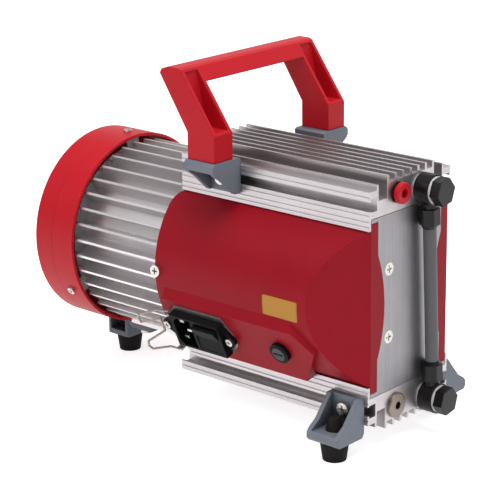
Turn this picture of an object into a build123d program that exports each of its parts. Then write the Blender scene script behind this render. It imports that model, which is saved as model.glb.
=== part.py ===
from build123d import *
from math import asin, atan2, copysign, cos, degrees, hypot, radians, sin, sqrt
import os

os.makedirs("parts", exist_ok=True)

# Twin-head diaphragm vacuum pump. X runs along the motor shaft and points away from the fan.
# A station is a distance behind the front end face of the two heads.
# A height r is measured from the shaft axis, upwards on the upper head, downwards on the lower one.

UPPER, LOWER = 1, -1
LEFT, RIGHT = -1, 1                     # LEFT is -Y, the side with the mains inlet

# Overall layout
axis_height = 102.0                     # shaft axis above the floor
head_length = 163.0
lower_head_extra = 4.0                  # the lower extrusion reaches further back
fan_cover_end = 288.0                   # station of the rear grille
middle_y = -4.015                       # middle of the whole width, bail included
running_gap = 0.3                       # between pieces that move past each other

# Banjo unions, stacked along X on the front face
washer_thickness = 1.5
banjo_width = 11.0
banjo_radius = 10.5
bolt_head_height = 7.0
bolt_head_across = 17.0
bolt_radius = 5.5
banjo_reach = 2 * washer_thickness + banjo_width + bolt_head_height
front_x = (fan_cover_end - banjo_reach) / 2

# Head extrusion section
head_half_width = 44.0
seam_r = 61.3                           # where head and crankcase meet
flange_tip_r = 53.5
flange_thickness = 2.0
slot_r = 69.9                           # centre of the T-slot
slot_opening = 6.4
slot_lip = 1.5
cavity_height = 8.8
cavity_depth = 8.2
rail_top_r = 79.6
bead_top_r = 82.8
bead_thickness = 2.0
slot_back_wall = 1.5
recess_floor_r = 72.2
valley_r = 82.7
fin_tip_r = 87.0
fin_pitch = 8.1
fin_thickness = 2.0
head_fin_count = 7
groove = 0.5

# Crankcase, front plate and covers
plate_thickness = 3.0
crankcase_end = 150.0
deck_half_width = 41.5
deck_thickness = 6.3
web_half_width = 35.0
cavity_half_width = 30.0
front_wall = 14.0
rear_wall = 12.0
cover_radius = 68.0
cover_wall = 2.5
cover_end = 168.0
cover_half_height = 53.2
cover_front_edge = 41.8                 # |Y| of the upright front corner
facet_length = 33.0                     # station where the front facet dies out
cover_inner_edge = 36.0
band_half_height = 58.0
band_corner = 34.3                      # inner edge of the front band at its ends
band_waist = 27.1                       # and at half height
band_arc_r = 36.0                       # the waist's arc ends this far from the axis
cover_corner_radius = 9.0

# Motor
flange_radius = 60.0
flange_ring_radius = 65.2
motor_start = 168.3
motor_end = 254.0
stator_radius = 48.0
housing_radius = 52.0
motor_fin_radius = 66.9
motor_fin_thickness = 1.8
motor_fin_count = 36
rotor_radius = 28.0
fan_cover_start = 248.0
fan_cover_radius = 71.0
fan_cover_wall = 2.2
fan_cover_edge = 2.5                    # bevel round the rear face
shield_thickness = 10.0
fan_radius = 58.0

# Shaft and crank
shaft_radius = 8.5
shaft_nose_radius = 6.0
shaft_tail_radius = 7.0
front_bearing_radius = 16.0
front_bearing_width = 10.0
motor_bearing_radius = 20.0
motor_bearing_width = 12.0
throw = 3.0                             # crank radius
eccentric_radius = 13.0
counterweight_radius = 27.0
counterweight_thickness = 8.0
counterweight_hub = 5.0                 # wall round the shaft
rod_bearing_radius = 21.0
big_end_radius = 25.0
rod_width = 11.0
rod_station = {UPPER: 74.5, LOWER: 88.5}
pivot_clearance = 0.05                  # radial, between a shaft and what turns on it

# Diaphragms and valves
diaphragm_radius = 36.0
diaphragm_thickness = 1.6
chamber_radius = 27.5
clamp_radius = 21.0
clamp_thickness = 2.0
deck_bore_radius = 29.0
valve_plate_radius = 33.6
valve_plate_top_r = 70.4
flap_radius = 7.0
flap_thickness = 0.8
duct_radius = 2.5
duct_r = 74.3

# Ports on the front face, as (Y, r)
gas_port = (-14.4, 73.7)
plug_port = (-14.4, 73.4)
banjo_port = {UPPER: (10.6, 71.7), LOWER: (18.4, 76.0)}
outlet_port = (20.0, 75.0)
outlet_radius = 4.3
outlet_depth = 12.0
hose_radius = 3.1                       # 6 mm vacuum hose
collar_radius = 7.25
collar_travel = 1.5
cartridge_radius = 7.1
cartridge_depth = 22.0
sleeve_radius = 4.9
tube_radius = 4.5
tube_wall = 1.0
neck_radius = 5.2
neck_end = 13.0
tube_nut_length = 14.0
tube_nut_across = 12.4

# Brackets, feet and handle
bracket_width = 26.4
bracket_reach = 27.5                    # out from the rail face
bracket_top_r = 60.5
bracket_wall = 4.0
gusset_thickness = 3.4
ledge_thickness = 7.0
foot_ledge_r = slot_r + 18.5
handle_seat_r = slot_r + 15.1
foot_bracket_station = 16.2
foot_top_radius = 10.0
foot_tip_radius = 8.0
foot_offset = 14.5                      # foot centre, out from the rail face
rear_foot_station = 269.0
rear_foot_y = 6.0
rear_bracket_width = 12.4
handle_station = 122.0
handle_leg_length = 24.0
handle_inner_y = 50.6
handle_outer_y = 68.6
handle_knee_r = handle_seat_r + 18.4
handle_top_r = 145.4
handle_lean = 27.5                      # how far the top sits behind the knee
grip_thickness = 10.5
handle_wall = 2.6

# Mains inlet, switch and fuse on the sloping face of the left cover
face_tilt = 23.6                        # degrees from upright
face_y, face_r = -61.6, -37.0           # a point of the face, below the axis
inlet_station = 130.5
ear_spacing = 57.4
inlet_flange = 2.5
inlet_frame_offset = 2.0                # the frame sits forward of the ears' middle
inlet_frame_width = 45.0
inlet_frame_height = 27.0
inlet_frame_rise = 6.0
inlet_body_depth = 18.0
socket_width = 16.4
socket_height = 24.0
socket_depth = 16.0
rocker_width = 21.0
rocker_height = 22.0
rocker_tilt = 9.0
rocker_gap = 1.0
fuse_station = 58.6
fuse_radius = 7.7
hinge_station = 153.5
hinge_mid = -3.5
hinge_half = 17.4
bail_radius = 0.8

shaft_axis = Axis((0, 0, axis_height), (1, 0, 0))


def along(station):
    return front_x - station


def end_plane(station, side=UPPER):
    """Upright plane facing +X; on the lower side it is turned half a turn about the shaft."""
    return Plane((along(station), 0, axis_height), x_dir=(0, side, 0), z_dir=(1, 0, 0))


def deck_plane(side, r, station):
    """Level plane facing away from the shaft."""
    return Plane((along(station), 0, axis_height + side * r), x_dir=(1, 0, 0), z_dir=(0, 0, side))


def plan_plane(r):
    return Plane((front_x, 0, axis_height + r), x_dir=(-1, 0, 0), z_dir=(0, 0, -1))


def wall_plane(side, y, station, r=0.0):
    """Upright plane facing outwards, +Y or -Y."""
    return Plane((along(station), y, axis_height + r), x_dir=(1, 0, 0), z_dir=(0, side, 0))


shaft_section = Plane((front_x, 0, axis_height), x_dir=(-1, 0, 0), z_dir=(0, 1, 0))
sine, cosine = sin(radians(face_tilt)), cos(radians(face_tilt))


def face_plane(station, up=0.0, out=0.0):
    """Plane on the sloping face: local x is X, local y climbs the face, z points out of it."""
    origin = (along(station), face_y - sine * up - cosine * out,
              axis_height + face_r + cosine * up - sine * out)
    return Plane(origin, x_dir=(1, 0, 0), z_dir=(0, -cosine, -sine))


def keep(piece, name):
    """Moves the piece so that the origin lies below the middle of the whole, and writes it."""
    placed = piece.part.moved(Location((0, -middle_y, 0)))
    placed.label = name
    export_step(placed, f"parts/{name}.step")


def pan_screw(head_radius, head_height, shank_radius, length):
    """Pan head above the current location, shank below it."""
    Cylinder(shank_radius, length, align=(Align.CENTER, Align.CENTER, Align.MAX))
    Cylinder(head_radius, head_height, align=(Align.CENTER, Align.CENTER, Align.MIN))
    for turn in (0, 90):
        Box(head_radius * 1.1, head_radius * 0.25, head_height, rotation=(0, 0, turn),
            align=(Align.CENTER, Align.CENTER, Align.MIN), mode=Mode.SUBTRACT)


def flat_screw(head_radius, shank_radius, length):
    """Countersunk screw, its head flush with the current location."""
    Cylinder(shank_radius, length, align=(Align.CENTER, Align.CENTER, Align.MAX))
    Cone(shank_radius, head_radius, head_radius - shank_radius,
         align=(Align.CENTER, Align.CENTER, Align.MAX))
    for turn in (0, 90):
        Box(head_radius * 1.1, head_radius * 0.25, 1.0, rotation=(0, 0, turn),
            align=(Align.CENTER, Align.CENTER, Align.MAX), mode=Mode.SUBTRACT)


# ---- Heads --------------------------------------------------------------------------------

def make_head(side, length, valve_ports):
    """Extruded head with side rails, cooling fins, diaphragm pocket and gas ducts."""
    inner_wall = head_half_width - cavity_depth
    recess_outer = inner_wall - slot_back_wall
    recess_inner = (head_fin_count - 1) / 2 * fin_pitch + fin_thickness / 2
    lip = head_half_width - slot_lip
    slot_low, slot_high = slot_r - slot_opening / 2, slot_r + slot_opening / 2
    cavity_low, cavity_high = slot_r - cavity_height / 2 + 0.5, slot_r + cavity_height / 2 + 0.5
    with BuildPart() as head:
        with BuildSketch(end_plane(length, side)):
            with BuildLine():
                Polyline(
                    (0, seam_r), (head_half_width - flange_thickness, seam_r),
                    (head_half_width - flange_thickness, flange_tip_r),
                    (head_half_width, flange_tip_r), (head_half_width, slot_low),
                    (lip, slot_low), (lip, cavity_low), (inner_wall, cavity_low),
                    (inner_wall, cavity_high), (lip, cavity_high), (lip, slot_high),
                    (head_half_width, slot_high), (head_half_width, rail_top_r),
                    (recess_outer + bead_thickness, rail_top_r),
                    (recess_outer + bead_thickness, bead_top_r), (recess_outer, bead_top_r),
                    (recess_outer, recess_floor_r), (recess_inner, recess_floor_r),
                    (recess_inner, valley_r), (0, valley_r), close=True)
            make_face()
            mirror(about=Plane.YZ)
            with Locations((0, (valley_r + fin_tip_r) / 2 - groove / 2)):
                with GridLocations(fin_pitch, 0, head_fin_count, 1):
                    Rectangle(fin_thickness, fin_tip_r - valley_r + groove)
            for r in (flange_tip_r + 3, flange_tip_r + 6.5, slot_low - 2.5, slot_high + 3.2):
                with Locations((-head_half_width, r), (head_half_width, r)):
                    Rectangle(2 * groove, 2 * groove, mode=Mode.SUBTRACT)
        extrude(amount=length)
        with BuildSketch(deck_plane(side, seam_r, rod_station[side])):
            Circle(valve_plate_radius + running_gap / 2)
        extrude(amount=valve_plate_top_r - seam_r, mode=Mode.SUBTRACT)
        for y in valve_ports:
            with BuildSketch(deck_plane(side, seam_r, rod_station[side])):
                with Locations((0, side * y)):
                    Circle(duct_radius)
            extrude(amount=duct_r - seam_r, mode=Mode.SUBTRACT)
            with BuildSketch(end_plane(0, side)):
                with Locations((side * y, duct_r)):
                    Circle(duct_radius)
            extrude(amount=-rod_station[side] - duct_radius, mode=Mode.SUBTRACT)
        with BuildSketch(end_plane(0, side)):
            with Locations((side * banjo_port[side][0], banjo_port[side][1])):
                Circle(bolt_radius)
        extrude(amount=-14, mode=Mode.SUBTRACT)
    return head


def make_upper_head():
    head = make_head(UPPER, head_length, (gas_port[0], banjo_port[UPPER][0]))
    with BuildPart() as upper_head:
        add(head.part)
        with BuildSketch(end_plane(0)):
            with Locations(gas_port):
                Circle(cartridge_radius)
        extrude(amount=-cartridge_depth, mode=Mode.SUBTRACT)
    return upper_head


def make_lower_head():
    """The lower extrusion is cut back at its rear left corner, and carries the gas outlet."""
    length = head_length + lower_head_extra
    head = make_head(LOWER, length, (plug_port[0], banjo_port[LOWER][0]))
    with BuildPart() as lower_head:
        add(head.part)
        with BuildSketch(end_plane(0, LOWER)):
            with Locations((-plug_port[0], plug_port[1])):
                Circle(plug_radius)
        extrude(amount=-plug_depth, mode=Mode.SUBTRACT)
        with BuildSketch(end_plane(length, LOWER)):
            with Locations((-outlet_port[0], outlet_port[1])):
                Circle(outlet_radius)
        extrude(amount=outlet_depth, mode=Mode.SUBTRACT)
        with BuildSketch(end_plane(length, LOWER)):
            with Locations((-outlet_port[0], outlet_port[1])):
                Circle(duct_radius)
        extrude(amount=length - rod_station[LOWER], mode=Mode.SUBTRACT)
        with BuildSketch(end_plane(length, LOWER)):
            with Locations((head_half_width, flange_tip_r)):
                Rectangle(2 * 6, 2 * (slot_r - slot_opening / 2 - flange_tip_r))
        extrude(amount=9, mode=Mode.SUBTRACT)
    return lower_head


plug_radius = 6.5
plug_depth = 12.0

keep(make_upper_head(), "upper_head")
keep(make_lower_head(), "lower_head")


# ---- Crankcase and front plate ------------------------------------------------------------

def make_crankcase():
    length = crankcase_end - plate_thickness
    diaphragm_seat = diaphragm_thickness + 0.1
    with BuildPart() as crankcase:
        with BuildSketch(end_plane(crankcase_end)):
            Rectangle(2 * web_half_width, 2 * seam_r)
            for side in (UPPER, LOWER):
                with Locations((0, side * (seam_r - deck_thickness / 2))):
                    Rectangle(2 * deck_half_width, deck_thickness)
        extrude(amount=length)
        with BuildSketch(end_plane(crankcase_end - rear_wall)):
            Rectangle(2 * cavity_half_width, 2 * (seam_r - deck_thickness - plate_thickness))
        extrude(amount=length - rear_wall - front_wall, mode=Mode.SUBTRACT)
        for side in (UPPER, LOWER):
            with BuildSketch(deck_plane(side, seam_r, rod_station[side])):
                Circle(deck_bore_radius)
            extrude(amount=-deck_thickness - 2 * plate_thickness, mode=Mode.SUBTRACT)
            with BuildSketch(deck_plane(side, seam_r, rod_station[side])):
                Circle(diaphragm_radius + running_gap)
            extrude(amount=-diaphragm_seat, mode=Mode.SUBTRACT)
        with BuildSketch(end_plane(plate_thickness)):
            Circle(front_bearing_radius)
        extrude(amount=-front_bearing_width, mode=Mode.SUBTRACT)
        with BuildSketch(end_plane(plate_thickness)):
            Circle(front_bearing_radius - 4)
        extrude(amount=-front_wall, mode=Mode.SUBTRACT)
        with BuildSketch(end_plane(crankcase_end)):
            Circle(spigot_radius)
        extrude(amount=rear_wall, mode=Mode.SUBTRACT)
        with Locations(end_plane(plate_thickness)):
            with GridLocations(2 * plate_screw_y, 2 * plate_screw_r, 2, 2):
                Hole(plate_screw_radius, depth=plate_screw_length - plate_thickness)
    return crankcase


def make_front_plate():
    """Waisted plate between the two covers, full width only along its upper and lower edges."""
    edge_r = seam_r - 0.3
    shoulder_r = band_half_height + running_gap
    with BuildPart() as front_plate:
        with BuildSketch(end_plane(plate_thickness)):
            with BuildLine():
                Polyline((band_corner, band_arc_r), (band_corner, shoulder_r),
                         (deck_half_width, shoulder_r),
                         (deck_half_width, edge_r), (-deck_half_width, edge_r),
                         (-deck_half_width, shoulder_r), (-band_corner, shoulder_r),
                         (-band_corner, band_arc_r))
                ThreePointArc((-band_corner, band_arc_r), (-band_waist, 0),
                              (-band_corner, -band_arc_r))
                Polyline((-band_corner, -band_arc_r), (-band_corner, -shoulder_r),
                         (-deck_half_width, -shoulder_r),
                         (-deck_half_width, -edge_r), (deck_half_width, -edge_r),
                         (deck_half_width, -shoulder_r), (band_corner, -shoulder_r),
                         (band_corner, -band_arc_r))
                ThreePointArc((band_corner, -band_arc_r), (band_waist, 0),
                              (band_corner, band_arc_r))
            make_face()
        extrude(amount=plate_thickness)
        with Locations(end_plane(0)):
            with GridLocations(2 * plate_screw_y, 2 * plate_screw_r, 2, 2):
                CounterSinkHole(plate_screw_radius, plate_screw_head, depth=plate_thickness)
    return front_plate


def make_front_plate_screws():
    with BuildPart() as front_plate_screws:
        with Locations(end_plane(0)):
            with GridLocations(2 * plate_screw_y, 2 * plate_screw_r, 2, 2):
                flat_screw(plate_screw_head, plate_screw_radius, plate_screw_length)
    return front_plate_screws


plate_screw_y = 22.2
plate_screw_r = 23.4
plate_screw_radius = 2.0
plate_screw_head = 4.5
plate_screw_length = 12.0
spigot_radius = 24.0

keep(make_crankcase(), "crankcase")
keep(make_front_plate(), "front_plate")
keep(make_front_plate_screws(), "front_plate_screws")


# ---- Side covers --------------------------------------------------------------------------

box_rear = 160.5
box_shoulder = 45.5                     # station where the ridge ends at the front
box_tip, box_tip_up = 29.5, 5.0         # foremost corner of the face
box_heel = 43.5                         # station of the front end at the bottom edge
box_bevel = 6.0
box_top_r, box_ridge_r, box_bottom_r = -11.0, -19.0, -56.0
box_inner_y = 44.3
cover_screw_station = 166.0
cover_screw_radius = 2.0
cover_screw_head = 4.25
cover_screw_head_height = 2.6
rim_width = 10.0
facet_slope = (cover_radius - cover_front_edge) / facet_length
facet_wall = cover_wall * sqrt(1 + facet_slope ** 2)


def face_height(y):
    """Height of the sloping face at a given Y."""
    return face_r - (y - face_y) * cosine / sine


def cut_facet(side, wall):
    """Trims the solid in hand along the upright front facet."""
    edge = side * (cover_front_edge - wall)
    outer = side * (cover_radius + 2)
    station = facet_length + (2 + wall) / facet_slope
    with BuildSketch(plan_plane(cover_radius)) as facet:
        with BuildLine():
            Polyline((0, edge), (station, outer), (0, outer), close=True)
        make_face()
    extrude(facet.sketch, amount=2 * cover_radius, mode=Mode.SUBTRACT)


def cover_space(side, wall):
    """The volume under one side cover, shrunk by a wall thickness."""
    with BuildPart() as space:
        with BuildSketch(end_plane(cover_end + wall)):
            Circle(cover_radius - wall)
            with Locations((side * (cover_inner_edge + cover_radius) / 2, 0)):
                Rectangle(cover_radius - cover_inner_edge, 2 * cover_half_height + 2 * wall,
                          mode=Mode.INTERSECT)
        extrude(amount=cover_end + wall - (plate_thickness if wall else 0))
        cut_facet(side, facet_wall if wall else 0)
    return space


def inlet_box(wall):
    """Raised box that carries the mains inlet, its front end pointed and bevelled at the top."""
    ridge_y = face_y - (box_ridge_r - face_r) * sine / cosine
    bottom_y = face_y - (box_bottom_r - face_r) * sine / cosine
    with BuildPart() as box:
        with BuildSketch(end_plane(box_rear - wall)):
            with BuildLine():
                Polyline((-cover_radius + 1, box_top_r), (ridge_y, box_ridge_r),
                         (bottom_y, box_bottom_r), (-box_inner_y, box_bottom_r),
                         (-box_inner_y, box_bottom_r + 11), (-cover_radius + 13, box_top_r),
                         close=True)
            make_face()
            if wall:
                offset(amount=-wall, kind=Kind.INTERSECTION)
        extrude(amount=box_rear - box_tip + box_bevel)
        ridge_up, bottom_up = (box_ridge_r - face_r) / cosine, (box_bottom_r - face_r) / cosine
        for end, end_up, bevel in ((box_shoulder, ridge_up, box_bevel), (box_heel, bottom_up, 0)):
            forward = copysign(1, end_up - box_tip_up)
            ahead, climb = abs(end_up - box_tip_up), (end - box_tip) * forward
            with BuildSketch(Plane(face_plane(box_tip, up=box_tip_up).origin,
                                   x_dir=(ahead, -sine * climb, cosine * climb),
                                   z_dir=(climb, sine * ahead, -cosine * ahead))):
                with BuildLine():
                    Polyline((3 * box_tip, -2 * box_bevel), (bevel - wall, -2 * box_bevel),
                             (-wall, 2), (3 * box_tip, 2), close=True)
                make_face()
            extrude(amount=cover_radius, both=True, mode=Mode.SUBTRACT)
    return box


def make_cover(side):
    with BuildPart() as cover:
        add(cover_space(side, 0).part)
        if side == LEFT:
            add(inlet_box(0).part)
        with BuildSketch(end_plane(plate_thickness)):
            with BuildLine():
                edge = side * (band_corner + running_gap)
                waist = side * (band_waist + running_gap)
                outer = side * cover_front_edge
                ThreePointArc((edge, -band_arc_r), (waist, 0), (edge, band_arc_r))
                Polyline((edge, band_arc_r), (edge, band_half_height),
                         (outer, band_half_height), (outer, -band_half_height),
                         (edge, -band_half_height), (edge, -band_arc_r))
            make_face()
        extrude(amount=plate_thickness)
        add(cover_space(side, cover_wall).part, mode=Mode.SUBTRACT)
        if side == LEFT:
            add(inlet_box(cover_wall).part, mode=Mode.SUBTRACT)
        with BuildSketch(shaft_section):
            for level in (UPPER, LOWER):
                corner = cover_half_height - cover_corner_radius
                with Locations((cover_end - cover_corner_radius / 2,
                                level * (corner + cover_corner_radius / 2))):
                    Rectangle(cover_corner_radius, cover_corner_radius)
                with Locations((cover_end - cover_corner_radius, level * corner)):
                    Circle(cover_corner_radius, mode=Mode.SUBTRACT)
        extrude(amount=side * cover_radius, mode=Mode.SUBTRACT)
        with BuildSketch(shaft_section):
            with Locations((cover_screw_station, 0)):
                Circle(cover_screw_radius + running_gap)
            with Locations((cover_screw_station + 5, 0)):
                Rectangle(10, 2 * (cover_screw_radius + running_gap))
        extrude(amount=side * (cover_radius + 1), mode=Mode.SUBTRACT)
        if side == LEFT:
            with BuildSketch(face_plane(inlet_station, out=1)):
                with Locations((inlet_frame_offset, 0)):
                    Rectangle(inlet_body_width + running_gap, inlet_body_height + running_gap)
            extrude(amount=-2 * cover_wall, mode=Mode.SUBTRACT)
            with BuildSketch(face_plane(inlet_station, out=1)):
                with GridLocations(ear_spacing, 0, 2, 1):
                    Circle(ear_screw_radius)
            extrude(amount=-3 * cover_wall, mode=Mode.SUBTRACT)
            with BuildSketch(face_plane(fuse_station, up=fuse_up, out=1)):
                Circle(fuse_barrel_radius)
            extrude(amount=-2 * cover_wall, mode=Mode.SUBTRACT)
    return cover


def make_cover_screws():
    with BuildPart() as cover_screws:
        with Locations(wall_plane(LEFT, -cover_radius, cover_screw_station),
                       wall_plane(RIGHT, cover_radius, cover_screw_station)):
            pan_screw(cover_screw_head, cover_screw_head_height, cover_screw_radius, 9)
    return cover_screws


inlet_body_width = inlet_frame_width - 2
inlet_body_height = inlet_frame_height - 2
fuse_up = 1.1
ear_screw_radius = 1.6
fuse_barrel_radius = 6.0

keep(make_cover(LEFT), "left_cover")
keep(make_cover(RIGHT), "right_cover")
keep(make_cover_screws(), "cover_screws")


# ---- Motor --------------------------------------------------------------------------------

base_block_half_width = 13.0
base_block_bottom = 71.4
fan_lug_radius = 6.0
fan_screw_station = 252.0
fan_screw_radius = 1.5
fan_screw_head = 3.0
rear_hub_radius = 20.0


def radial_planes(radius, station, count, first):
    """Planes facing outwards, spaced evenly about the shaft."""
    for number in range(count):
        turn = radians(first + number * 360 / count)
        yield Plane((along(station), radius * cos(turn), axis_height + radius * sin(turn)),
                    x_dir=(1, 0, 0), z_dir=(0, cos(turn), sin(turn)))


def make_front_shield():
    """Disc between crankcase and motor, with a bearing spigot and a rim inside the covers."""
    with BuildPart() as front_shield:
        with BuildSketch(shaft_section):
            with BuildLine():
                Polyline((crankcase_end - rear_wall, motor_bearing_radius),
                         (crankcase_end - rear_wall, spigot_radius),
                         (crankcase_end, spigot_radius), (crankcase_end, flange_radius),
                         (motor_start - rim_width, flange_radius),
                         (motor_start - rim_width, flange_ring_radius),
                         (motor_start, flange_ring_radius), (motor_start, stator_radius),
                         (crankcase_end + 8, stator_radius),
                         (crankcase_end + 8, shaft_radius + 1), (crankcase_end, shaft_radius + 1),
                         (crankcase_end, motor_bearing_radius), close=True)
            make_face()
        revolve(axis=shaft_axis)
        with BuildSketch(end_plane(motor_start)):
            Rectangle(2 * cover_radius, 2 * seam_r, mode=Mode.ADD)
        extrude(amount=motor_start - crankcase_end + rear_wall, mode=Mode.INTERSECT)
        for plane in (wall_plane(LEFT, -cover_radius, cover_screw_station),
                      wall_plane(RIGHT, cover_radius, cover_screw_station)):
            with BuildSketch(plane):
                Circle(cover_screw_radius)
            extrude(amount=-9, mode=Mode.SUBTRACT)
    return front_shield


def make_motor_housing():
    """Extruded tube with radial fins and a base block for the rear foot."""
    length = motor_end - motor_start
    fin_length = motor_fin_radius - housing_radius + 1
    with BuildPart() as motor_housing:
        with BuildSketch(end_plane(motor_end)):
            Circle(housing_radius)
            with PolarLocations(housing_radius - 1 + fin_length / 2, motor_fin_count,
                                start_angle=5):
                Rectangle(fin_length, motor_fin_thickness)
            with Locations((0, -(housing_radius + base_block_bottom) / 2)):
                Rectangle(2 * base_block_half_width, base_block_bottom - housing_radius + 4)
            Circle(stator_radius, mode=Mode.SUBTRACT)
            with Locations((0, -base_block_bottom - 5)):
                Rectangle(2 * cover_radius, 10, mode=Mode.SUBTRACT)
        extrude(amount=length)
        with BuildSketch(end_plane(motor_end)):
            Circle(2 * cover_radius)
            Circle(motor_fin_radius - 5, mode=Mode.SUBTRACT)
        extrude(amount=motor_end - fan_cover_start + running_gap, mode=Mode.SUBTRACT)
        with Locations(deck_plane(LOWER, base_block_bottom, foot_screw_station)):
            with GridLocations(0, 2 * foot_screw_y, 1, 2):
                Hole(foot_screw_radius, depth=foot_screw_length)
    return motor_housing


def make_rear_shield():
    with BuildPart() as rear_shield:
        with BuildSketch(end_plane(motor_end + shield_thickness)):
            Circle(motor_fin_radius - 5)
            with PolarLocations(0, fan_screw_count, start_angle=90):
                with Locations((fan_cover_radius - fan_cover_wall - 6, 0)):
                    Rectangle(12, 2 * fan_lug_radius)
            Circle(fan_cover_radius - fan_cover_wall, mode=Mode.INTERSECT)
            Circle(front_bearing_radius, mode=Mode.SUBTRACT)
            with PolarLocations(0, 8, start_angle=22.5):
                with Locations(((rear_hub_radius + motor_fin_radius - 9) / 2, 0)):
                    Rectangle(22, 13, mode=Mode.SUBTRACT)
        extrude(amount=shield_thickness)
        with BuildSketch(end_plane(motor_end)):
            Circle(stator_radius)
            Circle(stator_radius - 3, mode=Mode.SUBTRACT)
        extrude(amount=3)
        for plane in radial_planes(fan_cover_radius, fan_lug_station, fan_screw_count, 90):
            with BuildSketch(plane):
                Circle(fan_screw_radius)
            extrude(amount=-9, mode=Mode.SUBTRACT)
    return rear_shield


def make_fan_cover():
    """Cup over the fan, its end face slotted in four rings between eight spokes."""
    inner = fan_cover_radius - fan_cover_wall
    edge = fan_cover_edge
    with BuildPart() as fan_cover:
        with BuildSketch(shaft_section):
            with BuildLine():
                outline = Polyline(
                    (fan_cover_start, inner), (fan_cover_start, fan_cover_radius),
                    (fan_cover_end - edge, fan_cover_radius),
                    (fan_cover_end, fan_cover_radius - edge),
                    (fan_cover_end, 0), (fan_cover_end - fan_cover_wall, 0),
                    (fan_cover_end - fan_cover_wall, inner - edge),
                    (fan_cover_end - edge - fan_cover_wall / 2, inner), close=True)
            make_face()
        revolve(axis=shaft_axis)
        with BuildSketch(end_plane(fan_cover_end)):
            for ring in (18, 29, 40, 51):
                Circle(ring + 7)
                Circle(ring, mode=Mode.SUBTRACT)
                for inner_ring in range(18, ring, 11):
                    Circle(inner_ring + 7)
                    Circle(inner_ring, mode=Mode.SUBTRACT)
            with PolarLocations(0, 4):
                Rectangle(2 * fan_cover_radius, 4, mode=Mode.SUBTRACT)
            Circle(13, mode=Mode.SUBTRACT)
        extrude(amount=fan_cover_wall, mode=Mode.SUBTRACT)
        for plane in radial_planes(fan_cover_radius + 1, fan_lug_station, fan_screw_count, 90):
            with BuildSketch(plane):
                Circle(fan_screw_radius)
            extrude(amount=-2 * fan_cover_wall, mode=Mode.SUBTRACT)
    return fan_cover


def make_fan_cover_screws():
    with BuildPart() as fan_cover_screws:
        with Locations(*radial_planes(fan_cover_radius, fan_lug_station, fan_screw_count, 90)):
            pan_screw(fan_screw_head, 2, fan_screw_radius, 8)
    return fan_cover_screws


def make_stator_core():
    with BuildPart() as stator_core:
        with BuildSketch(end_plane(core_end)):
            Circle(stator_radius)
            Circle(rotor_radius + running_gap, mode=Mode.SUBTRACT)
            with PolarLocations(0, 12):
                with Locations((rotor_radius + 10, 0)):
                    Rectangle(14, 5, mode=Mode.SUBTRACT)
        extrude(amount=core_end - core_start)
    return stator_core


def make_windings():
    """Two end rings joined by the bars that lie in the stator slots."""
    with BuildPart() as windings:
        for end in (core_start, core_end + winding_length):
            with BuildSketch(end_plane(end)):
                Circle(stator_radius - 3)
                Circle(rotor_radius + 3.5, mode=Mode.SUBTRACT)
            extrude(amount=winding_length)
        with BuildSketch(end_plane(core_end)):
            with PolarLocations(0, 12):
                with Locations((rotor_radius + 10, 0)):
                    Rectangle(12, 4.6)
        extrude(amount=core_end - core_start)
    return windings


core_start, core_end = 182.0, 236.0
winding_length = 11.0
fan_lug_station = 259.0
fan_screw_count = 3
foot_screw_station = 238.0
foot_screw_radius = 2.5
foot_screw_y = 7.0
foot_screw_length = 12.0
foot_tongue_thickness = 4.0

keep(make_front_shield(), "front_shield")
keep(make_motor_housing(), "motor_housing")
keep(make_rear_shield(), "rear_shield")
keep(make_fan_cover(), "fan_cover")
keep(make_fan_cover_screws(), "fan_cover_screws")
keep(make_stator_core(), "stator_core")
keep(make_windings(), "windings")


# ---- Shaft, bearings and what turns with the shaft ------------------------------------------

def make_shaft():
    with BuildPart() as shaft:
        with BuildSketch(shaft_section):
            with BuildLine():
                Polyline((plate_thickness + 1, 0), (plate_thickness + 1, shaft_nose_radius),
                         (nose_shoulder, shaft_nose_radius), (nose_shoulder, shaft_radius),
                         (tail_shoulder, shaft_radius), (tail_shoulder, shaft_tail_radius),
                         (shaft_end, shaft_tail_radius), (shaft_end, 0), close=True)
            make_face()
        revolve(axis=shaft_axis)
    return shaft


def make_bearing(station, width, inner, outer, centre=0.0):
    """Closed ball bearing with a shallow step at each shield."""
    ring = (outer - inner) / 4
    with BuildPart() as bearing:
        with Locations(end_plane(station + width)):
            with Locations((0, centre, width / 2)):
                Cylinder(outer, width)
                Cylinder(inner, width, mode=Mode.SUBTRACT)
                for end in (-1, 1):
                    with Locations((0, 0, end * (width / 2 - 0.3))):
                        Cylinder(outer - ring, 0.6, mode=Mode.SUBTRACT)
                        Cylinder(inner + ring, 0.6)
                        Cylinder(inner, 0.6, mode=Mode.SUBTRACT)
    return bearing


def make_eccentric():
    with BuildPart() as eccentric:
        with BuildSketch(end_plane(eccentric_end)):
            with Locations((0, throw)):
                Circle(eccentric_radius)
            Circle(shaft_radius, mode=Mode.SUBTRACT)
        extrude(amount=eccentric_end - eccentric_start)
    return eccentric


def make_counterweight():
    """Half disc opposite the crank."""
    with BuildPart() as counterweight:
        with BuildSketch(end_plane(counterweight_start + counterweight_thickness)):
            Circle(counterweight_radius)
            with Locations((0, counterweight_radius)):
                Rectangle(2 * counterweight_radius, 2 * counterweight_radius, mode=Mode.SUBTRACT)
            Circle(shaft_radius + counterweight_hub)
            Circle(shaft_radius, mode=Mode.SUBTRACT)
        extrude(amount=counterweight_thickness)
        with Locations(deck_plane(LOWER, shaft_radius + 5, counterweight_start + 4)):
            Cylinder(2.2, 2 * 5, mode=Mode.SUBTRACT)
    return counterweight


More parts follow.
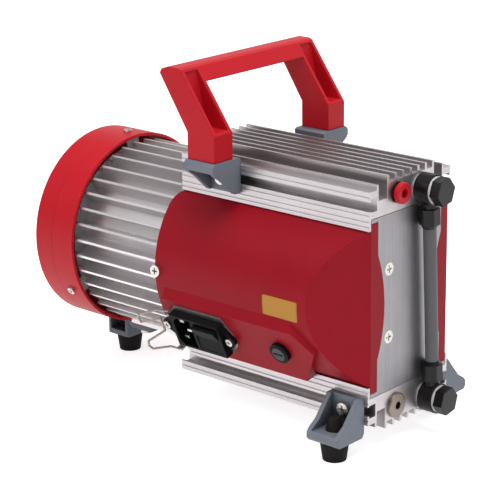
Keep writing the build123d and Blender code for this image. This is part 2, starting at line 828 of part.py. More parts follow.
def make_rotor_core():
    with BuildPart() as rotor_core:
        with BuildSketch(end_plane(core_end)):
            Circle(rotor_radius)
            Circle(shaft_radius, mode=Mode.SUBTRACT)
        extrude(amount=core_end - core_start)
        for end in (core_start, core_end + 5):
            with BuildSketch(end_plane(end)):
                Circle(rotor_radius - 1)
                Circle(rotor_radius - 9, mode=Mode.SUBTRACT)
                with PolarLocations(rotor_radius - 9, 10):
                    Rectangle(8, 2)
                Circle(shaft_radius + 2, mode=Mode.SUBTRACT)
            extrude(amount=5)
    return rotor_core


def make_fan():
    """Radial fan with straight blades, which works in either direction."""
    with BuildPart() as fan:
        with BuildSketch(end_plane(fan_end)):
            Circle(fan_hub_radius)
            Circle(shaft_tail_radius, mode=Mode.SUBTRACT)
        extrude(amount=fan_end - fan_start)
        with BuildSketch(end_plane(fan_start + 2)):
            Circle(fan_radius - 12)
            Circle(fan_hub_radius - 1, mode=Mode.SUBTRACT)
        extrude(amount=2)
        with BuildSketch(end_plane(fan_end - 1)):
            with PolarLocations((fan_radius + fan_hub_radius) / 2, 9):
                Rectangle(fan_radius - fan_hub_radius + 1, 2)
        extrude(amount=fan_end - fan_start - 2)
    return fan


nose_shoulder = plate_thickness + front_bearing_width + 1
tail_shoulder = motor_end - 1
shaft_end = 280.0
eccentric_start, eccentric_end = rod_station[UPPER] - 7, rod_station[LOWER] + 7
counterweight_start = eccentric_start - 9
fan_start, fan_end = 267.0, 282.0
fan_hub_radius = 12.0

keep(make_shaft(), "shaft")
with BuildPart() as shaft_bearings:
    for station, width, inner, outer in (
            (plate_thickness, front_bearing_width, shaft_nose_radius, front_bearing_radius),
            (crankcase_end - motor_bearing_width, motor_bearing_width, shaft_radius,
             motor_bearing_radius),
            (motor_end, shield_thickness, shaft_tail_radius, front_bearing_radius)):
        add(make_bearing(station, width, inner + pivot_clearance, outer).part)
keep(shaft_bearings, "shaft_bearings")
keep(make_eccentric(), "eccentric")
keep(make_counterweight(), "counterweight")
keep(make_rotor_core(), "rotor_core")
keep(make_fan(), "fan")


# ---- Rods, diaphragms and valves ------------------------------------------------------------

rod_head_radius = 17.0
rod_head_thickness = 3.0
rod_spigot_radius = 3.0
chamber_top_r = 67.0
flap_recess = 1.1
flap_gap = 0.3
seat_r = seam_r - diaphragm_thickness   # underside of the clamped diaphragm rim
pin_rise = {UPPER: throw, LOWER: -throw}    # outward shift of each rod with the crank upright


def make_rod(side):
    """Connecting rod with a round big end and the disc that carries the diaphragm."""
    centre = pin_rise[side]
    station = rod_station[side] + rod_width / 2
    disc_r = seat_r + centre
    with BuildPart() as rod:
        with BuildSketch(end_plane(station, side)):
            with Locations((0, centre)):
                Circle(big_end_radius)
            with BuildLine():
                Polyline((-13, centre + big_end_radius - 5), (13, centre + big_end_radius - 5),
                         (8, disc_r - rod_head_thickness), (-8, disc_r - rod_head_thickness),
                         close=True)
            make_face()
            with Locations((0, centre)):
                Circle(rod_bearing_radius, mode=Mode.SUBTRACT)
        extrude(amount=rod_width)
        with BuildSketch(deck_plane(side, disc_r, rod_station[side])):
            Circle(rod_head_radius)
        extrude(amount=-rod_head_thickness)
        with BuildSketch(deck_plane(side, disc_r, rod_station[side])):
            Circle(rod_spigot_radius)
        extrude(amount=diaphragm_thickness)
    return rod


def make_diaphragm(side):
    """Rubber disc: clamped rim, sloping web and a centre that sits on the rod."""
    low, high = seat_r, seat_r + pin_rise[side]
    web_outer, web_inner = chamber_radius - 1, clamp_radius + 0.5
    section = Plane((along(rod_station[side]), 0, axis_height), x_dir=(1, 0, 0),
                    z_dir=(0, -side, 0))
    with BuildPart() as diaphragm:
        with BuildSketch(section):
            with BuildLine():
                Polyline((rod_spigot_radius, high), (web_inner, high), (web_outer, low),
                         (diaphragm_radius, low), (diaphragm_radius, low + diaphragm_thickness),
                         (web_outer, low + diaphragm_thickness),
                         (web_inner, high + diaphragm_thickness),
                         (rod_spigot_radius, high + diaphragm_thickness), close=True)
            make_face()
        revolve(axis=Axis(section.origin, (0, 0, 1)))
    return diaphragm


def make_clamp(side):
    """Clamping disc held by one countersunk screw."""
    top_r = seat_r + pin_rise[side] + diaphragm_thickness + clamp_thickness
    with BuildPart() as clamp:
        with BuildSketch(deck_plane(side, top_r, rod_station[side])):
            Circle(clamp_radius)
        extrude(amount=-clamp_thickness)
        chamfer(clamp.edges().group_by(Axis.Z)[-1 if side == UPPER else 0], length=0.6)
        with Locations(deck_plane(side, top_r, rod_station[side])):
            for turn in (0, 90):
                Box(6, 1.2, 1, rotation=(0, 0, turn), mode=Mode.SUBTRACT,
                    align=(Align.CENTER, Align.CENTER, Align.MAX))
    return clamp


def make_valve_plate(side, ports):
    """Roof of the chamber with an inlet and an outlet hole and a shallow seat for each flap."""
    with BuildPart() as valve_plate:
        with BuildSketch(deck_plane(side, seam_r, rod_station[side])):
            Circle(valve_plate_radius)
        extrude(amount=valve_plate_top_r - seam_r)
        with BuildSketch(deck_plane(side, seam_r, rod_station[side])):
            Circle(chamber_radius)
        extrude(amount=chamber_top_r - seam_r, mode=Mode.SUBTRACT)
        for y, seat, depth in ((ports[0], chamber_top_r, flap_recess),
                               (ports[1], valve_plate_top_r, -flap_recess)):
            with BuildSketch(deck_plane(side, seat, rod_station[side])):
                with Locations((0, side * y)):
                    Circle(flap_radius + flap_gap)
            extrude(amount=depth, mode=Mode.SUBTRACT)
            with BuildSketch(deck_plane(side, chamber_top_r, rod_station[side])):
                with Locations((0, side * y)):
                    Circle(duct_radius)
            extrude(amount=valve_plate_top_r - chamber_top_r, mode=Mode.SUBTRACT)
    return valve_plate


def make_valve_flaps():
    """Four rubber discs, each lying flat over its valve hole."""
    with BuildPart() as valve_flaps:
        for side, ports in ((UPPER, upper_ports), (LOWER, lower_ports)):
            for y, seat, depth in ((ports[0], chamber_top_r + flap_recess, -flap_thickness),
                                   (ports[1], valve_plate_top_r - flap_recess, flap_thickness)):
                with BuildSketch(deck_plane(side, seat, rod_station[side])):
                    with Locations((0, side * y)):
                        Circle(flap_radius)
                extrude(amount=depth)
    return valve_flaps


upper_ports = (gas_port[0], banjo_port[UPPER][0])
lower_ports = (banjo_port[LOWER][0], plug_port[0])

for side, word, ports in ((UPPER, "upper", upper_ports), (LOWER, "lower", lower_ports)):
    keep(make_rod(side), word + "_rod")
    keep(make_bearing(rod_station[side] - rod_width / 2, rod_width,
                      eccentric_radius + pivot_clearance, rod_bearing_radius, throw),
         word + "_rod_bearing")
    keep(make_diaphragm(side), word + "_diaphragm")
    keep(make_clamp(side), word + "_clamp_disc")
    keep(make_valve_plate(side, ports), word + "_valve_plate")
keep(make_valve_flaps(), "valve_flaps")


# ---- Brackets, feet and handle --------------------------------------------------------------

bracket_screw_radius = 2.4
bracket_screw_head = 4.6
bracket_screw_head_height = 3.0
slot_nut_thickness = 3.0
slot_nut_width = 8.0
foot_stem_radius = 3.5
foot_cone_radius = 6.0
foot_cone_height = 9.0
rear_pad_half_width = rear_bracket_width
rear_pad_start = rear_foot_station - 10.5
rear_pad_end = rear_foot_station + 11.5
handle_screw_radius = 2.0


def make_brackets(side, station, ledge_r, drop):
    """Pair of corner brackets: an upright wall on the rail, a ledge and two gussets."""
    rail, reach = head_half_width, head_half_width + bracket_reach
    ledge_inner = ledge_r - ledge_thickness
    with BuildPart() as brackets:
        for hand in (LEFT, RIGHT):
            turn = hand * side
            with BuildSketch(end_plane(station + bracket_width / 2, side)):
                with BuildLine():
                    Polyline((turn * rail, bracket_top_r), (turn * (rail + 6), bracket_top_r),
                             (turn * (reach - 9), ledge_inner - 6),
                             (turn * (reach - 2), ledge_inner - 1.5),
                             (turn * reach, ledge_inner + 1), (turn * reach, ledge_r - 2.4),
                             (turn * (reach - 2), ledge_r), (turn * (rail + 2), ledge_r),
                             (turn * rail, ledge_r - drop), close=True)
                make_face()
            extrude(amount=bracket_width)
            with BuildSketch(end_plane(station + bracket_width / 2 - gusset_thickness, side)):
                with Locations((turn * (rail + bracket_wall + bracket_reach / 2),
                                ledge_inner - bracket_reach / 2)):
                    Rectangle(bracket_reach, bracket_reach)
            extrude(amount=bracket_width - 2 * gusset_thickness, mode=Mode.SUBTRACT)
            with BuildSketch(wall_plane(hand, hand * rail, station, side * slot_r)):
                Circle(bracket_screw_radius)
            extrude(amount=bracket_wall, mode=Mode.SUBTRACT)
    return brackets


def make_foot_brackets():
    brackets = make_brackets(LOWER, foot_bracket_station, foot_ledge_r, 3.0)
    with BuildPart() as foot_brackets:
        add(brackets.part)
        with Locations(*front_foot_planes):
            Hole(foot_stem_radius, depth=2 * ledge_thickness)
    return foot_brackets


def make_handle_brackets():
    brackets = make_brackets(UPPER, handle_station, handle_seat_r, 1.0)
    with BuildPart() as handle_brackets:
        add(brackets.part)
        for hand in (LEFT, RIGHT):
            with BuildSketch(deck_plane(UPPER, handle_seat_r, handle_station)):
                with Locations((0, hand * handle_mid_y)):
                    Circle(handle_screw_radius)
            extrude(amount=-2 * ledge_thickness, mode=Mode.SUBTRACT)
    return handle_brackets


def make_bracket_screws():
    with BuildPart() as bracket_screws:
        for side, station in ((UPPER, handle_station), (LOWER, foot_bracket_station)):
            for hand in (LEFT, RIGHT):
                seat = hand * (head_half_width + bracket_wall)
                with Locations(wall_plane(hand, seat, station, side * slot_r)):
                    pan_screw(bracket_screw_head, bracket_screw_head_height,
                              bracket_screw_radius, bracket_wall + cavity_depth - 1)
    return bracket_screws


def make_slot_nuts():
    """Square nuts that bear on the inside of the T-slot lips."""
    with BuildPart() as slot_nuts:
        for side, station in ((UPPER, handle_station), (LOWER, foot_bracket_station)):
            for hand in (LEFT, RIGHT):
                seat = hand * (head_half_width - slot_lip)
                with BuildSketch(wall_plane(hand, seat, station, side * (slot_r + 0.5))):
                    Rectangle(slot_nut_width, slot_nut_width)
                    with Locations((0, hand * side * 0.5)):
                        Circle(bracket_screw_radius, mode=Mode.SUBTRACT)
                extrude(amount=-slot_nut_thickness)
    return slot_nuts


def make_handle():
    """Lifting handle: two legs that lean back from a knee, joined by the grip across the top."""
    front = handle_station - handle_leg_length / 2
    rear = handle_station + handle_leg_length / 2
    top_front, top_rear = front + handle_lean + 2, rear + handle_lean - 3.2
    mid_y = (handle_inner_y + handle_outer_y) / 2
    leg_width = handle_outer_y - handle_inner_y
    grip_bottom = handle_top_r - grip_thickness
    side_view = Plane((front_x, 0, axis_height), x_dir=(-1, 0, 0), z_dir=(0, 1, 0))
    with BuildPart() as handle:
        with BuildSketch(side_view):
            with BuildLine():
                Polyline((front, handle_seat_r), (front, handle_knee_r),
                         (top_front, handle_top_r - 1), (top_front + 3, handle_top_r),
                         (top_rear - 7, handle_top_r), (top_rear - 1.5, handle_top_r - 2),
                         (top_rear, handle_top_r - 5), (rear, handle_knee_r),
                         (rear, handle_seat_r), close=True)
            make_face()
        extrude(amount=handle_outer_y, both=True)
        with BuildSketch(side_view):
            with Locations((handle_station, handle_seat_r)):
                Rectangle(6 * handle_leg_length, 2 * (grip_bottom - handle_seat_r))
        extrude(amount=handle_inner_y, both=True, mode=Mode.SUBTRACT)
        fillet(handle.edges().filter_by(Axis.Y).sort_by(Axis.Z)[-4:], radius=1.2)
        with BuildSketch(side_view):
            with BuildLine():
                Polyline((front - 9, handle_knee_r + 1.5),
                         (rear - handle_wall, handle_knee_r + 1.5),
                         (top_front - 0.5, handle_top_r - 3), (top_front - 9, handle_top_r - 3),
                         close=True)
            make_face()
            with Locations((handle_station, handle_seat_r)):
                Rectangle(2 * (handle_leg_length / 2 - handle_wall),
                          2 * (handle_knee_r - handle_seat_r - 3))
        pockets = extrude(amount=leg_width / 2 - handle_wall, both=True, mode=Mode.PRIVATE)
        for hand in (LEFT, RIGHT):
            add(pockets.moved(Location((0, hand * mid_y, 0))), mode=Mode.SUBTRACT)
            with BuildSketch(deck_plane(UPPER, handle_seat_r, handle_station)):
                with Locations((0, hand * mid_y)):
                    Circle(handle_screw_radius + 2)
                    Circle(handle_screw_radius, mode=Mode.SUBTRACT)
            extrude(amount=handle_knee_r - handle_seat_r - 2)
    return handle


def make_handle_screws():
    under = handle_seat_r - ledge_thickness
    with BuildPart() as handle_screws:
        for hand in (LEFT, RIGHT):
            plane = Plane((along(handle_station), hand * handle_mid_y, axis_height + under),
                          x_dir=(1, 0, 0), z_dir=(0, 0, -1))
            with Locations(plane):
                pan_screw(3.8, 2.6, handle_screw_radius,
                          ledge_thickness + (handle_knee_r - handle_seat_r) * 0.54)
    return handle_screws


def make_rear_bracket():
    """Tongue under the motor, passing below the fan cover to a pedestal open towards -Y."""
    low = base_block_bottom + foot_tongue_thickness
    half = base_block_half_width
    with BuildPart() as rear_bracket:
        with BuildSketch(deck_plane(LOWER, base_block_bottom, 0)) as tongue:
            with BuildLine():
                Polyline((-foot_screw_station + 10, half), (-foot_screw_station + 10, -half),
                         (-fan_cover_start, -half), (-rear_pad_start, -rear_foot_y - half + 1),
                         (-rear_pad_end, -rear_foot_y - half + 1),
                         (-rear_pad_end, -rear_foot_y + half - 1),
                         (-rear_pad_start, -rear_foot_y + half - 1),
                         (-fan_cover_start, half), close=True)
            make_face()
            with Locations((-foot_screw_station, foot_screw_y), (-foot_screw_station, -foot_screw_y)):
                Circle(foot_screw_radius, mode=Mode.SUBTRACT)
        extrude(amount=foot_tongue_thickness)
        with BuildSketch(deck_plane(LOWER, low, rear_foot_station)):
            with Locations((-0.5, -rear_foot_y)):
                RectangleRounded(rear_pad_end - rear_pad_start, 2 * half - 2, 2)
        extrude(amount=foot_ledge_r - low)
        with BuildSketch(deck_plane(LOWER, low, rear_foot_station)):
            with Locations((-0.5, half - rear_foot_y + bracket_wall - 3)):
                Rectangle(rear_pad_end - rear_pad_start - 2 * gusset_thickness, 4 * half)
        extrude(amount=foot_ledge_r - low - bracket_wall, mode=Mode.SUBTRACT)
        with Locations(deck_plane(LOWER, foot_ledge_r, rear_foot_station)):
            with Locations((0, -rear_foot_y)):
                Hole(foot_stem_radius, depth=bracket_wall)
    return rear_bracket


def make_rear_bracket_screws():
    low = base_block_bottom + foot_tongue_thickness
    with BuildPart() as rear_bracket_screws:
        with Locations(deck_plane(LOWER, low, foot_screw_station)):
            with GridLocations(0, 2 * foot_screw_y, 1, 2):
                pan_screw(4.4, 3, foot_screw_radius, foot_tongue_thickness + 9)
    return rear_bracket_screws


def make_feet():
    """Push-in rubber feet: tapered pad below the ledge, stem and cone above it."""
    with BuildPart() as feet:
        for plane, ledge in [(p, ledge_thickness) for p in front_foot_planes] + [
                (rear_foot_plane, bracket_wall)]:
            top = 0.0
            with Locations(plane):
                Cone(foot_top_radius, foot_tip_radius, axis_height - foot_ledge_r,
                     align=(Align.CENTER, Align.CENTER, Align.MIN))
                Cylinder(foot_stem_radius, ledge, align=(Align.CENTER, Align.CENTER, Align.MAX))
                with Locations((0, 0, -ledge)):
                    Cone(foot_stem_radius, foot_cone_radius, cone_height[ledge],
                         align=(Align.CENTER, Align.CENTER, Align.MAX))
                with Locations((0, 0, axis_height - foot_ledge_r)):
                    Cylinder(foot_stem_radius, 3, mode=Mode.SUBTRACT,
                             align=(Align.CENTER, Align.CENTER, Align.MAX))
    return feet


handle_mid_y = (handle_inner_y + handle_outer_y) / 2
foot_y = head_half_width + foot_offset
cone_height = {ledge_thickness: foot_cone_height, bracket_wall: 6.0}
front_foot_planes = [
    Plane((along(foot_bracket_station), hand * foot_y, axis_height - foot_ledge_r),
          x_dir=(1, 0, 0), z_dir=(0, 0, -1)) for hand in (LEFT, RIGHT)]
rear_foot_plane = Plane((along(rear_foot_station), rear_foot_y, axis_height - foot_ledge_r),
                        x_dir=(1, 0, 0), z_dir=(0, 0, -1))

keep(make_foot_brackets(), "foot_brackets")
keep(make_handle_brackets(), "handle_brackets")
keep(make_bracket_screws(), "bracket_screws")
keep(make_slot_nuts(), "slot_nuts")
keep(make_handle(), "handle")
keep(make_handle_screws(), "handle_screws")
keep(make_rear_bracket(), "rear_bracket")
keep(make_rear_bracket_screws(), "rear_bracket_screws")
keep(make_feet(), "feet")


# ---- Fittings on the front face ---------------------------------------------------------------

cartridge_lip = 0.8
cartridge_bore = sleeve_radius + 0.05
collar_neck_radius = 5.6
spring_wire = 0.5
spring_radius = 5.4
plug_head_radius = 8.6
plug_head_height = 2.6


def banjo_plane(side, ahead):
    return Plane((front_x + ahead, banjo_port[side][0], axis_height + side * banjo_port[side][1]),
                 x_dir=(0, 1, 0), z_dir=(1, 0, 0))


def pipe_plane(side, distance):
    """Plane across the pipe, facing the middle of the pipe, measured from one banjo."""
    here, there = banjo_port[side], banjo_port[-side]
    run = (there[0] - here[0], -side * (there[1] + here[1]))
    length = hypot(*run)
    unit = (run[0] / length, run[1] / length)
    origin = (front_x + washer_thickness + banjo_width / 2, here[0] + unit[0] * distance,
              axis_height + side * here[1] + unit[1] * distance)
    return Plane(origin, x_dir=(1, 0, 0), z_dir=(0, unit[0], unit[1]))


def make_banjo_washers():
    with BuildPart() as banjo_washers:
        for side in (UPPER, LOWER):
            for ahead in (0, washer_thickness + banjo_width):
                with BuildSketch(banjo_plane(side, ahead)):
                    Circle(banjo_radius - 1.2)
                    Circle(bolt_radius, mode=Mode.SUBTRACT)
                extrude(amount=washer_thickness)
    return banjo_washers


def make_banjo_rings():
    """Ring unions, each with a threaded neck towards the pipe."""
    with BuildPart() as banjo_rings:
        for side in (UPPER, LOWER):
            with BuildSketch(banjo_plane(side, washer_thickness)):
                Circle(banjo_radius)
            extrude(amount=banjo_width)
            with BuildSketch(pipe_plane(side, neck_root)):
                Circle(neck_radius)
            extrude(amount=nut_start + 3 - neck_root)
            with BuildSketch(pipe_plane(side, nut_start + 3)):
                Circle(tube_radius)
            extrude(amount=neck_root - nut_start - 3, mode=Mode.SUBTRACT)
            with BuildSketch(banjo_plane(side, washer_thickness)):
                Circle(bolt_radius)
            extrude(amount=banjo_width, mode=Mode.SUBTRACT)
    return banjo_rings


def make_banjo_bolts():
    with BuildPart() as banjo_bolts:
        for side in (UPPER, LOWER):
            head = 2 * washer_thickness + banjo_width
            with BuildSketch(banjo_plane(side, head)):
                RegularPolygon(bolt_head_across / 2, 6, major_radius=False, rotation=10)
            extrude(amount=bolt_head_height)
            with BuildSketch(banjo_plane(side, head)):
                Circle(bolt_radius)
            extrude(amount=-head - 10)
    return banjo_bolts


def make_tube():
    start = nut_start + 1
    length = hypot(banjo_port[LOWER][0] - banjo_port[UPPER][0],
                   banjo_port[UPPER][1] + banjo_port[LOWER][1])
    with BuildPart() as tube:
        with BuildSketch(pipe_plane(UPPER, start)):
            Circle(tube_radius)
            Circle(tube_radius - tube_wall, mode=Mode.SUBTRACT)
        extrude(amount=length - 2 * start)
    return tube


def make_tube_nuts():
    """Hexagon union nuts, narrowed to a round nose where the tube leaves them."""
    with BuildPart() as tube_nuts:
        for side in (UPPER, LOWER):
            with BuildSketch(pipe_plane(side, nut_start)):
                RegularPolygon(tube_nut_across / 2, 6, major_radius=False, rotation=30)
            extrude(amount=tube_nut_length - 2.5)
            with BuildSketch(pipe_plane(side, nut_start + tube_nut_length - 2.5)):
                Circle(tube_nut_across / 2 - 0.3)
            extrude(amount=2.5, taper=25)
            with BuildSketch(pipe_plane(side, nut_start)):
                Circle(neck_radius)
            extrude(amount=3, mode=Mode.SUBTRACT)
            with BuildSketch(pipe_plane(side, nut_start)):
                Circle(tube_radius)
            extrude(amount=tube_nut_length, mode=Mode.SUBTRACT)
    return tube_nuts


def make_inlet_cartridge():
    """Sleeve in the gas inlet port that guides the release collar and stops the hose."""
    plane = end_plane(cartridge_depth)
    with BuildPart() as inlet_cartridge:
        with BuildSketch(plane):
            with Locations(gas_port):
                Circle(cartridge_radius)
        extrude(amount=cartridge_depth + cartridge_lip)
        with BuildSketch(plane):
            with Locations(gas_port):
                Circle(duct_radius)
        extrude(amount=cartridge_depth + cartridge_lip, mode=Mode.SUBTRACT)
        with BuildSketch(end_plane(cartridge_depth - 4)):
            with Locations(gas_port):
                Circle(cartridge_bore)
        extrude(amount=cartridge_depth, mode=Mode.SUBTRACT)
        with BuildSketch(end_plane(spring_end)):
            with Locations(gas_port):
                Circle(spring_radius + spring_wire + 0.2)
        extrude(amount=cartridge_depth, mode=Mode.SUBTRACT)
    return inlet_cartridge


def make_inlet_collar():
    """Release collar: flanged sleeve that is pressed in to free the hose."""
    lip = cartridge_lip + collar_travel + running_gap
    with BuildPart() as inlet_collar:
        with BuildSketch(end_plane(-lip)):
            with Locations(gas_port):
                Circle(collar_radius)
        extrude(amount=collar_height)
        fillet(inlet_collar.edges().sort_by(Axis.X)[-1], radius=1.2)
        with BuildSketch(end_plane(cartridge_depth - 5 - collar_travel)):
            with Locations(gas_port):
                Circle(sleeve_radius)
        extrude(amount=cartridge_depth - 5 - collar_travel + lip)
        with BuildSketch(end_plane(cartridge_depth)):
            with Locations(gas_port):
                Circle(hose_radius)
        extrude(amount=2 * cartridge_depth, mode=Mode.SUBTRACT)
    return inlet_collar


def make_lower_plug():
    """Socket-head plug that closes the unused port of the lower head."""
    with BuildPart() as lower_plug:
        with BuildSketch(end_plane(0, LOWER)):
            with Locations((-plug_port[0], plug_port[1])):
                Circle(plug_head_radius)
        extrude(amount=plug_head_height)
        fillet(lower_plug.edges().sort_by(Axis.X)[-1], radius=1.0)
        with BuildSketch(end_plane(0, LOWER)):
            with Locations((-plug_port[0], plug_port[1])):
                Circle(plug_radius)
        extrude(amount=-plug_depth + 1)
        with BuildSketch(end_plane(-plug_head_height, LOWER)):
            with Locations((-plug_port[0], plug_port[1])):
                RegularPolygon(2.6, 6, major_radius=False)
        extrude(amount=-7, mode=Mode.SUBTRACT)
    return lower_plug


def make_gas_outlet():
    """Hose nipple on the rear end of the lower head."""
    plane = end_plane(head_length + lower_head_extra, LOWER)
    with BuildPart() as gas_outlet:
        with BuildSketch(plane):
            with Locations((-outlet_port[0], outlet_port[1])):
                Circle(outlet_radius)
        extrude(amount=outlet_depth - 2)
        with BuildSketch(plane):
            with Locations((-outlet_port[0], outlet_port[1])):
                RegularPolygon(outlet_radius + 0.6, 6, major_radius=False)
        extrude(amount=-5)
        with BuildSketch(end_plane(head_length + lower_head_extra + 5, LOWER)):
            with Locations((-outlet_port[0], outlet_port[1])):
                Circle(3.2)
        extrude(amount=-11)
        with BuildSketch(end_plane(head_length + lower_head_extra + 20, LOWER)):
            with Locations((-outlet_port[0], outlet_port[1])):
                Circle(1.8)
        extrude(amount=outlet_depth + 20, mode=Mode.SUBTRACT)
    return gas_outlet


nut_start = neck_end
neck_root = 7.0                         # inside the ring, clear of the bolt
collar_height = 3.4
spring_end = 6.0

keep(make_banjo_washers(), "banjo_washers")
keep(make_banjo_rings(), "banjo_rings")
keep(make_banjo_bolts(), "banjo_bolts")
keep(make_tube(), "tube")
keep(make_tube_nuts(), "tube_nuts")
keep(make_inlet_cartridge(), "inlet_cartridge")
keep(make_inlet_collar(), "inlet_collar")
keep(make_lower_plug(), "lower_plug")
keep(make_gas_outlet(), "gas_outlet")


# ---- Mains inlet, switch, fuse and cord bail ----------------------------------------------------

carrier_thickness = 1.2
carrier_top = 16.9
lug_up = 15.5                           # lugs sit this far either side of the hinge middle
lug_half = 2.4
hinge_out = carrier_thickness + 3.8
hinge_x = inlet_station - hinge_station
frame_wall = (inlet_frame_width - socket_width - rocker_width) / 3
socket_x = inlet_frame_offset - inlet_frame_width / 2 + frame_wall + socket_width / 2
rocker_x = inlet_frame_offset + inlet_frame_width / 2 - frame_wall - rocker_width / 2
flange_base = carrier_thickness
frame_top = flange_base + inlet_frame_rise
rocker_pivot_out = frame_top - 3.0
ear_radius = 4.4
trunnion_radius = 1.5
trunnion_length = 1.2
earth_offset = 3.5
bail_open_angle = 22.0                  # in the rest pose, back from the cover's face
bail_arm = (9.5, 16.8, -3.0)            # each as reach, half spread and set towards the cover
bail_ear_outer = (22.0, 16.0, 0.0)
bail_ear_tip = (24.2, 13.0, 0.0)
bail_ear_inner = (23.0, 8.7, 0.0)
bail_bar = (11.5, 5.5, -7.0)
fuse_collar_height = 3.0
fuse_cap_radius = 5.2


def make_bail_carrier():
    """Thin plate between cover and inlet, with two lugs folded out for the bail."""
    with BuildPart() as bail_carrier:
        with BuildSketch(face_plane(inlet_station)):
            with BuildLine():
                Polyline((hinge_x - lug_half, carrier_top - 8), (hinge_x + 2, carrier_top - 2),
                         (hinge_x + 4, carrier_top),
                         (inlet_frame_offset + inlet_frame_width / 2 - 1, carrier_top),
                         (ear_spacing / 2 + ear_radius - 1, 2),
                         (ear_spacing / 2 + ear_radius - 1, -5),
                         (inlet_frame_offset + inlet_frame_width / 2, -inlet_frame_height / 2),
                         (hinge_x - lug_half, hinge_mid - lug_up - 1), close=True)
            make_face()
            with Locations((inlet_frame_offset, 0)):
                Rectangle(inlet_body_width + running_gap, inlet_body_height + running_gap,
                          mode=Mode.SUBTRACT)
            with Locations((-ear_spacing / 2, 0), (ear_spacing / 2, 0)):
                Circle(ear_screw_radius, mode=Mode.SUBTRACT)
        extrude(amount=carrier_thickness)
        for level in (-1, 1):
            with BuildSketch(Plane(face_plane(inlet_station, up=hinge_mid + level * lug_up).origin,
                                   x_dir=(1, 0, 0), z_dir=(0, -sine, cosine))):
                with Locations((hinge_x, -hinge_out / 2)):
                    Rectangle(2 * lug_half, hinge_out)
                with Locations((hinge_x, -hinge_out)):
                    Circle(lug_half)
                    Circle(bail_radius + pivot_clearance, mode=Mode.SUBTRACT)
            extrude(amount=carrier_thickness / 2, both=True)
    return bail_carrier


def make_inlet_frame():
    """Moulded module: eared flange, raised frame, socket and switch openings."""
    with BuildPart() as inlet_frame:
        with BuildSketch(face_plane(inlet_station, out=flange_base)):
            with Locations((-ear_spacing / 2, 0), (ear_spacing / 2, 0)):
                Circle(ear_radius)
            with Locations((inlet_frame_offset, 0)):
                Rectangle(inlet_frame_width - 8, inlet_frame_height)
            make_hull()
        extrude(amount=inlet_flange)
        with BuildSketch(face_plane(inlet_station, out=flange_base)):
            with Locations((inlet_frame_offset, 0)):
                Rectangle(inlet_frame_width, inlet_frame_height)
        extrude(amount=inlet_frame_rise)
        with BuildSketch(face_plane(inlet_station, out=flange_base)):
            with Locations((inlet_frame_offset, 0)):
                Rectangle(inlet_body_width, inlet_body_height)
        extrude(amount=-inlet_body_depth)
        with BuildSketch(face_plane(inlet_station, out=frame_top)):
            with BuildLine():
                half_w, half_h = socket_width / 2, socket_height / 2
                Polyline((socket_x - half_w, -half_h), (socket_x + half_w, -half_h),
                         (socket_x + half_w, half_h), (socket_x - half_w, half_h), close=True)
            socket = make_face()
            chamfer(socket.vertices().sort_by(Axis.X)[:2], length=4)
        extrude(amount=-socket_depth, mode=Mode.SUBTRACT)
        with BuildSketch(face_plane(inlet_station, out=frame_top)):
            with Locations((rocker_x, 0)):
                Rectangle(rocker_width, rocker_height)
        extrude(amount=-inlet_body_depth, mode=Mode.SUBTRACT)
        with BuildSketch(face_plane(inlet_station, out=frame_top)):
            with Locations((-ear_spacing / 2, 0), (ear_spacing / 2, 0)):
                Circle(ear_screw_radius)
        extrude(amount=-inlet_body_depth, mode=Mode.SUBTRACT)
        trunnion_hole = trunnion_length + running_gap
        with BuildSketch(rocker_axis_plane().offset(rocker_x - rocker_width / 2
                                                    - trunnion_hole)):
            Circle(trunnion_radius + pivot_clearance)
        extrude(amount=rocker_width + 2 * trunnion_hole, mode=Mode.SUBTRACT)
    return inlet_frame


def make_inlet_screws():
    with BuildPart() as inlet_screws:
        for end in (-1, 1):
            with Locations(face_plane(inlet_station - end * ear_spacing / 2,
                                      out=flange_base + inlet_flange)):
                pan_screw(3.0, 1.6, ear_screw_radius, inlet_flange + carrier_thickness + 4)
    return inlet_screws


def make_socket_pins():
    """Three flat contact pins of the mains inlet, the earth pin set apart."""
    with BuildPart() as socket_pins:
        with BuildSketch(face_plane(inlet_station, out=frame_top - socket_depth)):
            with Locations((socket_x + earth_offset / 2, 0), (socket_x - earth_offset, 7),
                           (socket_x - earth_offset, -7)):
                Rectangle(4, 2)
        extrude(amount=socket_depth - 3)
    return socket_pins


def rocker_axis_plane(turn=0.0):
    """Plane across the rocker's pivot axis, its local y out of the face."""
    lean = radians(face_tilt + turn)
    return Plane(face_plane(inlet_station, out=rocker_pivot_out).origin,
                 x_dir=(0, -sin(lean), cos(lean)), z_dir=(1, 0, 0))


def make_rocker():
    """Two-lobed rocker, tipped about its pivot."""
    half = rocker_height / 2 - rocker_gap
    pivot = rocker_axis_plane(rocker_tilt)
    with BuildPart() as rocker:
        with BuildSketch(pivot.offset(rocker_x - rocker_width / 2 + running_gap)):
            with BuildLine():
                rise = half * sin(radians(rocker_tilt))
                Polyline((-half, -5), (half, -5), (half, 3 + rise), (0, 3 - rise / 3),
                         (-half, 3 + rise), close=True)
            make_face()
        extrude(amount=rocker_width - 2 * running_gap)
        with BuildSketch(pivot.offset(rocker_x - rocker_width / 2 - trunnion_length)):
            Circle(trunnion_radius)
        extrude(amount=rocker_width + 2 * trunnion_length)
    return rocker


